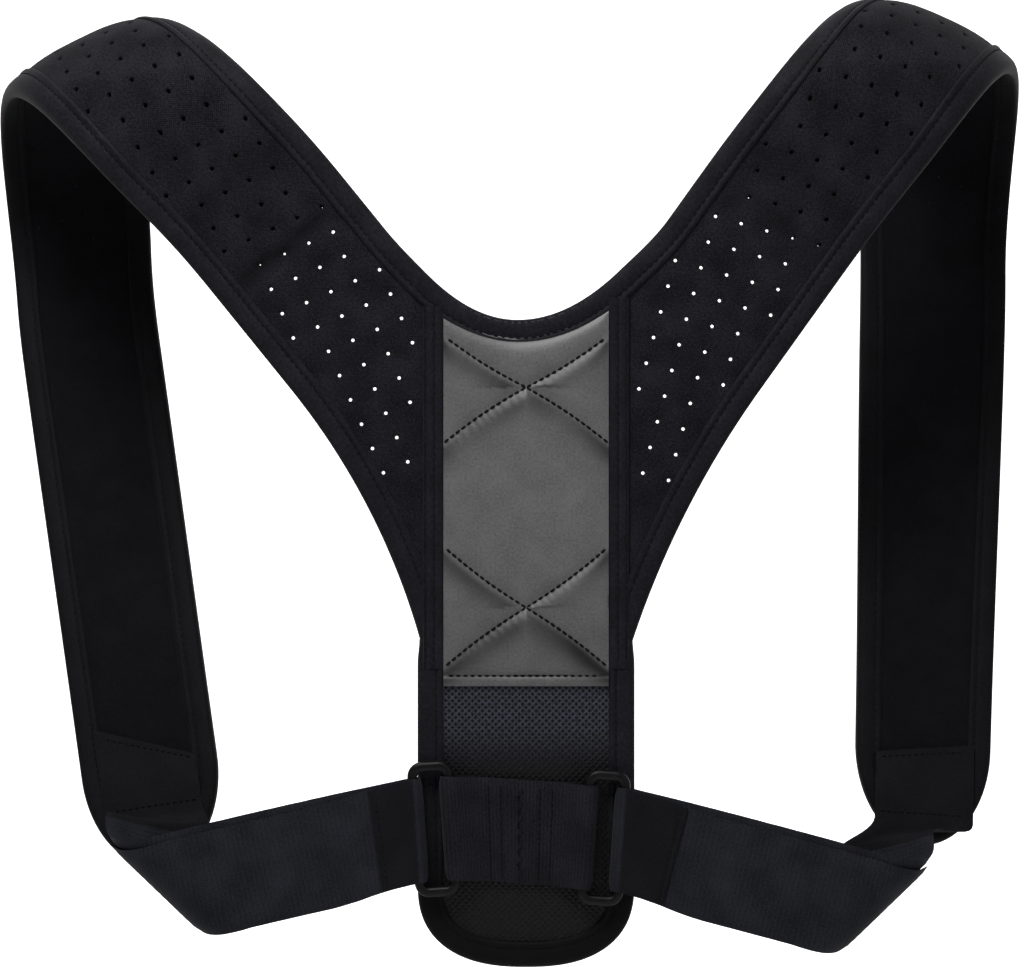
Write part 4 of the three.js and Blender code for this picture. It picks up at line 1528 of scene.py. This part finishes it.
@dataclass
class ElasticStrap:
    """One elastic strap: sewn inside the pad's end, folded under the arm, through the ring and back."""

    side: SideShape
    sizes: BraceSizes
    step: float = 2.0

    def __post_init__(self) -> None:
        """Lays the strap out in the flat and finds its fold."""
        side, sizes = self.side, self.sizes
        self.pad = PadMap(side, sizes)
        self.ring = RingFrame(side, sizes)
        self.root = self.ring.centre + self.ring.out * (sizes.ring_span / 2)
        self.reach = side.fold_reach * sizes.arch_reach
        self.line = [self.root]
        for index in range(int(2 * self.reach / self.step)):
            self.line.append(self.line[-1] + heading(self.angle_at(index * self.step)) * self.step)
        self.fold = Crease(side.fold_facing, self.reach, sizes.fold_radius, sizes.fold_turn)
        across = heading(side.fold_facing)
        midway = heading(self.angle_at(self.reach / 2))
        self.fold_start = (self.reach - self.root.dot(across)) / midway.dot(across)
        skew = heading(self.angle_at(self.fold_start)).dot(across)
        self.fold_end = self.fold_start + math.radians(sizes.fold_turn) * sizes.fold_radius / skew

    def angle_at(self, s: float) -> float:
        """Returns the strap's heading at a place along it, in degrees."""
        return -self.side.strap_fall - self.side.strap_bend * smooth(s, 0, self.reach)

    def worn(self, s: float, t: float, height: float) -> Vector:
        """Returns the worn point at s from the ring, t upward and a height off the inner face."""
        square = heading(self.angle_at(s) + 90)
        tilt = self.ring.up.lerp(square, smooth(s, 0, self.sizes.webbing_width)).normalized()
        flat = point_on(self.line, s, self.step) + tilt * t
        x, depth, z = self.fold.bend(tuple(flat), height)
        return Vector((self.side.sign * x, depth - self.sizes.webbing_base, z))

    def on_pad(self, rise: float, t: float, height: float) -> Vector:
        """Returns the point of the sewn end, "rise" up the pad from its foot."""
        foot = self.pad.length - self.side.sewn_place * self.sizes.pad_end_round
        lift = height - 3 * self.sizes.gap - self.sizes.tape - self.sizes.webbing
        return Vector(self.pad.point(foot - rise, t, lift))

    def sewn(self, share: float, t: float, height: float) -> Vector:
        """Returns a point of the sewn end, a share of the way down from its slanted top to its foot."""
        slant = math.tan(math.radians(self.side.sewn_slant))
        return self.on_pad((self.sizes.sewn_length + slant * t) * (1 - share), t, height)

    def lift(self, s: float) -> float:
        """Returns how far the returned layer stands off the strap's inner face."""
        sizes = self.sizes
        settled = smooth(s, 0, sizes.webbing_width / 2)
        return lerp(2 * sizes.wrap + sizes.webbing, sizes.webbing + sizes.gap, settled)

    def over(self, s: float, t: float, height: float) -> Vector:
        """Returns a point of the returned layer."""
        slip = self.sizes.over_slip * smooth(s, 0, self.sizes.webbing_width)
        return self.worn(s, t - slip, self.lift(s) + height)

    def band(self) -> None:
        """Builds the strap from its sewn end to the end of its returned layer."""
        sizes, side = self.sizes, self.side
        thick = sizes.webbing
        band = Band(sizes.webbing_width, thick)
        # Painted shade: the sewn end and the free stretch take the darker hook tape finish, number 1, though
        # they are loop elastic.
        for k in shares(8):
            band.station(lambda t, q, k=k: self.sewn(k, t, thick * q), 1)
        for k in shares(12)[1:-1]:
            share = smooth(k, 0, 1)

            def free(t: float, q: float, k: float = k, share: float = share) -> Vector:
                """Gives a point of the free stretch between the pad and the fold."""
                near = self.worn(self.fold_end + sizes.free_length * (1 - k), t, thick * q)
                return self.on_pad(-sizes.free_length * k, t, thick * q).lerp(near, share)

            band.station(free, 1)
        for s in spaced(self.fold_end, 0, 3.0):
            band.station(lambda t, q, s=s: self.worn(s, t, thick * q))
        for k in shares(12):
            def wrap(t: float, q: float, angle: float = math.pi * k) -> Vector:
                """Gives a point of the wrap round the ring's outer bar."""
                radius = sizes.wrap + thick * (1 - q)
                flat = self.root + self.ring.up * t - self.ring.out * (radius * math.sin(angle))
                return Vector((side.sign * flat.x, -(sizes.ring_plane - radius * math.cos(angle)), flat.y))

            band.station(wrap)
        for s in spaced(2.0, sizes.over_length, 2.5):
            band.station(lambda t, q, s=s: self.over(s, t, thick * (1 - q)))
        piece = band.build(f"{side.name}_elastic", LOOP_ELASTIC, HOOK_TAPE_AND_PAINTED_SHADE)
        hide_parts(f"{side.name}_strap")

    def tab(self) -> None:
        """Builds the darker tab sewn on the returned layer beside the ring."""
        side, sizes = self.side, self.sizes
        band = Band(sizes.webbing_width - 1.0, 0.7)
        end = side.tab_length
        for s in (*spaced(0.5, end - 2, 2.0), *spaced(end - 1.5, end, 0.5)):
            bead = 0.7 * math.exp(-((s - side.tab_length + 0.8) / 0.7) ** 2)

            def place(t: float, q: float, s: float = s, bead: float = bead) -> Vector:
                """Gives a point of the tab, with its slanted, beaded end."""
                slide = side.tab_slant * smooth(s, 0, side.tab_length) * t / sizes.webbing_width
                return self.over(s + slide, t, sizes.webbing + (0.75 + bead) * q - 0.1)

            band.station(place)
        piece = band.build(f"{side.name}_strap_tab", HOOK_TAPE_AND_PAINTED_SHADE)

    def stitches(self) -> None:
        """Sews the tab down and the strap's end to the pad."""
        side, sizes = self.side, self.sizes
        stitching = Stitching(pitch=3.0, length=2.2, radius=0.34)
        half = sizes.webbing_width / 2 - 2.5
        s = side.tab_length - 3.0
        path = [
            self.over(s + side.tab_slant * t / sizes.webbing_width, t, sizes.webbing + 0.75)
            for t in spaced(-half, half, 3.0)
        ]
        stitching.row(path)
        for share in (0.08, 0.9):
            path, normals = [], []
            for t in spaced(-half, half, 3.0):
                path.append(self.sewn(share, t, -0.05))
                normals.append((self.sewn(share, t, -1.0) - path[-1]).normalized())
            stitching.row(path, normals)
        piece = stitching.build(f"{side.name}_strap_stitches")

    def build(self) -> None:
        """Builds the strap's pieces."""
        self.band()
        self.tab()
        self.stitches()


@dataclass
class Studio:
    """A pale floor and backdrop, soft lights and the camera, in metres."""

    camera_place: Point = (-0.0063, -1.2, 0.0029)
    view_width: float = 0.4608
    floor_level: float = -0.45
    floor_half: float = 2.4
    backdrop_start: float = 1.0
    backdrop_round: float = 0.6

    def camera(self) -> None:
        """Places the camera level behind the wearer's back, at the photograph's distance."""
        data = bpy.data.cameras.new("camera")
        data.sensor_width = 36.0
        data.lens = data.sensor_width * -self.camera_place[1] / self.view_width
        camera = bpy.data.objects.new("camera", data)
        camera.location = self.camera_place
        camera.rotation_euler = (math.pi / 2, 0, 0)
        bpy.context.scene.collection.objects.link(camera)
        bpy.context.scene.camera = camera

    def stage(self) -> None:
        """Builds the floor and the backdrop, which rises from it in a soft curve."""
        profile = [(-self.floor_half, 0.0), (self.backdrop_start, 0.0)]
        for share in shares(16)[1:]:
            angle = share * math.pi / 2
            profile.append((
                self.backdrop_start + self.backdrop_round * math.sin(angle),
                self.backdrop_round * (1 - math.cos(angle)),
            ))
        profile.append((profile[-1][0], 2.6))
        points = [
            (x, y, self.floor_level + z) for y, z in profile for x in (-self.floor_half, self.floor_half)
        ]
        faces = [(2 * k, 2 * k + 1, 2 * k + 3, 2 * k + 2) for k in range(len(profile) - 1)]
        mesh = bpy.data.meshes.new("studio_paper")
        mesh.from_pydata(points, [], faces)
        mesh.polygons.foreach_set("use_smooth", [True] * len(faces))
        for name, glow in (("matt_studio_paper", 0.0), ("lit_studio_paper", 0.95)):
            paper = bpy.data.materials.new(name)
            paper.use_nodes = True
            shader = paper.node_tree.nodes["Principled BSDF"]
            shader.inputs["Base Color"].default_value = linear("#f7f7f7")
            shader.inputs["Roughness"].default_value = 0.95
            shader.inputs["Emission Color"].default_value = linear("#ffffff")
            shader.inputs["Emission Strength"].default_value = glow
            mesh.materials.append(paper)
        mesh.polygons.foreach_set("material_index", [min(index, 1) for index in range(len(faces))])
        floor = bpy.data.objects.new("studio_paper", mesh)
        bpy.context.scene.collection.objects.link(floor)

    def light(self, name: str, place: Point, aim: Point, size: float, watts: float) -> None:
        """Adds a square soft light.

        Args:
            name: The light's name.
            place: Where it stands.
            aim: What it points at.
            size: Its side.
            watts: Its power.
        """
        data = bpy.data.lights.new(name, "AREA")
        data.shape = "SQUARE"
        data.size = size
        data.energy = watts
        lamp = bpy.data.objects.new(name, data)
        lamp.location = place
        lamp.rotation_euler = (Vector(aim) - Vector(place)).to_track_quat("-Z", "Y").to_euler()
        bpy.context.scene.collection.objects.link(lamp)

    def build(self) -> None:
        """Builds the studio."""
        self.camera()
        self.stage()
        self.light("key", (-0.25, -0.6, 0.95), (0, 0, 0.02), 0.5, 12)
        self.light("fill", (1.3, -1.4, 0.4), (0, 0, 0), 1.0, 3)
        self.light("top", (0, 0.2, 1.6), (0, 0, 0), 1.0, 3)
        world = bpy.data.worlds.new("studio")
        world.use_nodes = True
        sky = world.node_tree.nodes["Background"]
        sky.inputs["Color"].default_value = linear("#ffffff")
        sky.inputs["Strength"].default_value = 0.14
        bpy.context.scene.world = world
        bpy.context.scene.view_settings.view_transform = "Standard"


def main() -> None:
    """Builds the studio and the brace."""
    logging.basicConfig(level=logging.INFO, format="%(name)s %(message)s")
    Studio().build()
    SpinePanel(SIZES).build()
    KeeperWebbing(SIZES).build()
    for side in (LEFT, RIGHT):
        ShoulderPad(side, SIZES).build()
        RingBuckle(side, SIZES).build()
        ElasticStrap(side, SIZES).build()


if __name__ == "__main__":
    main()
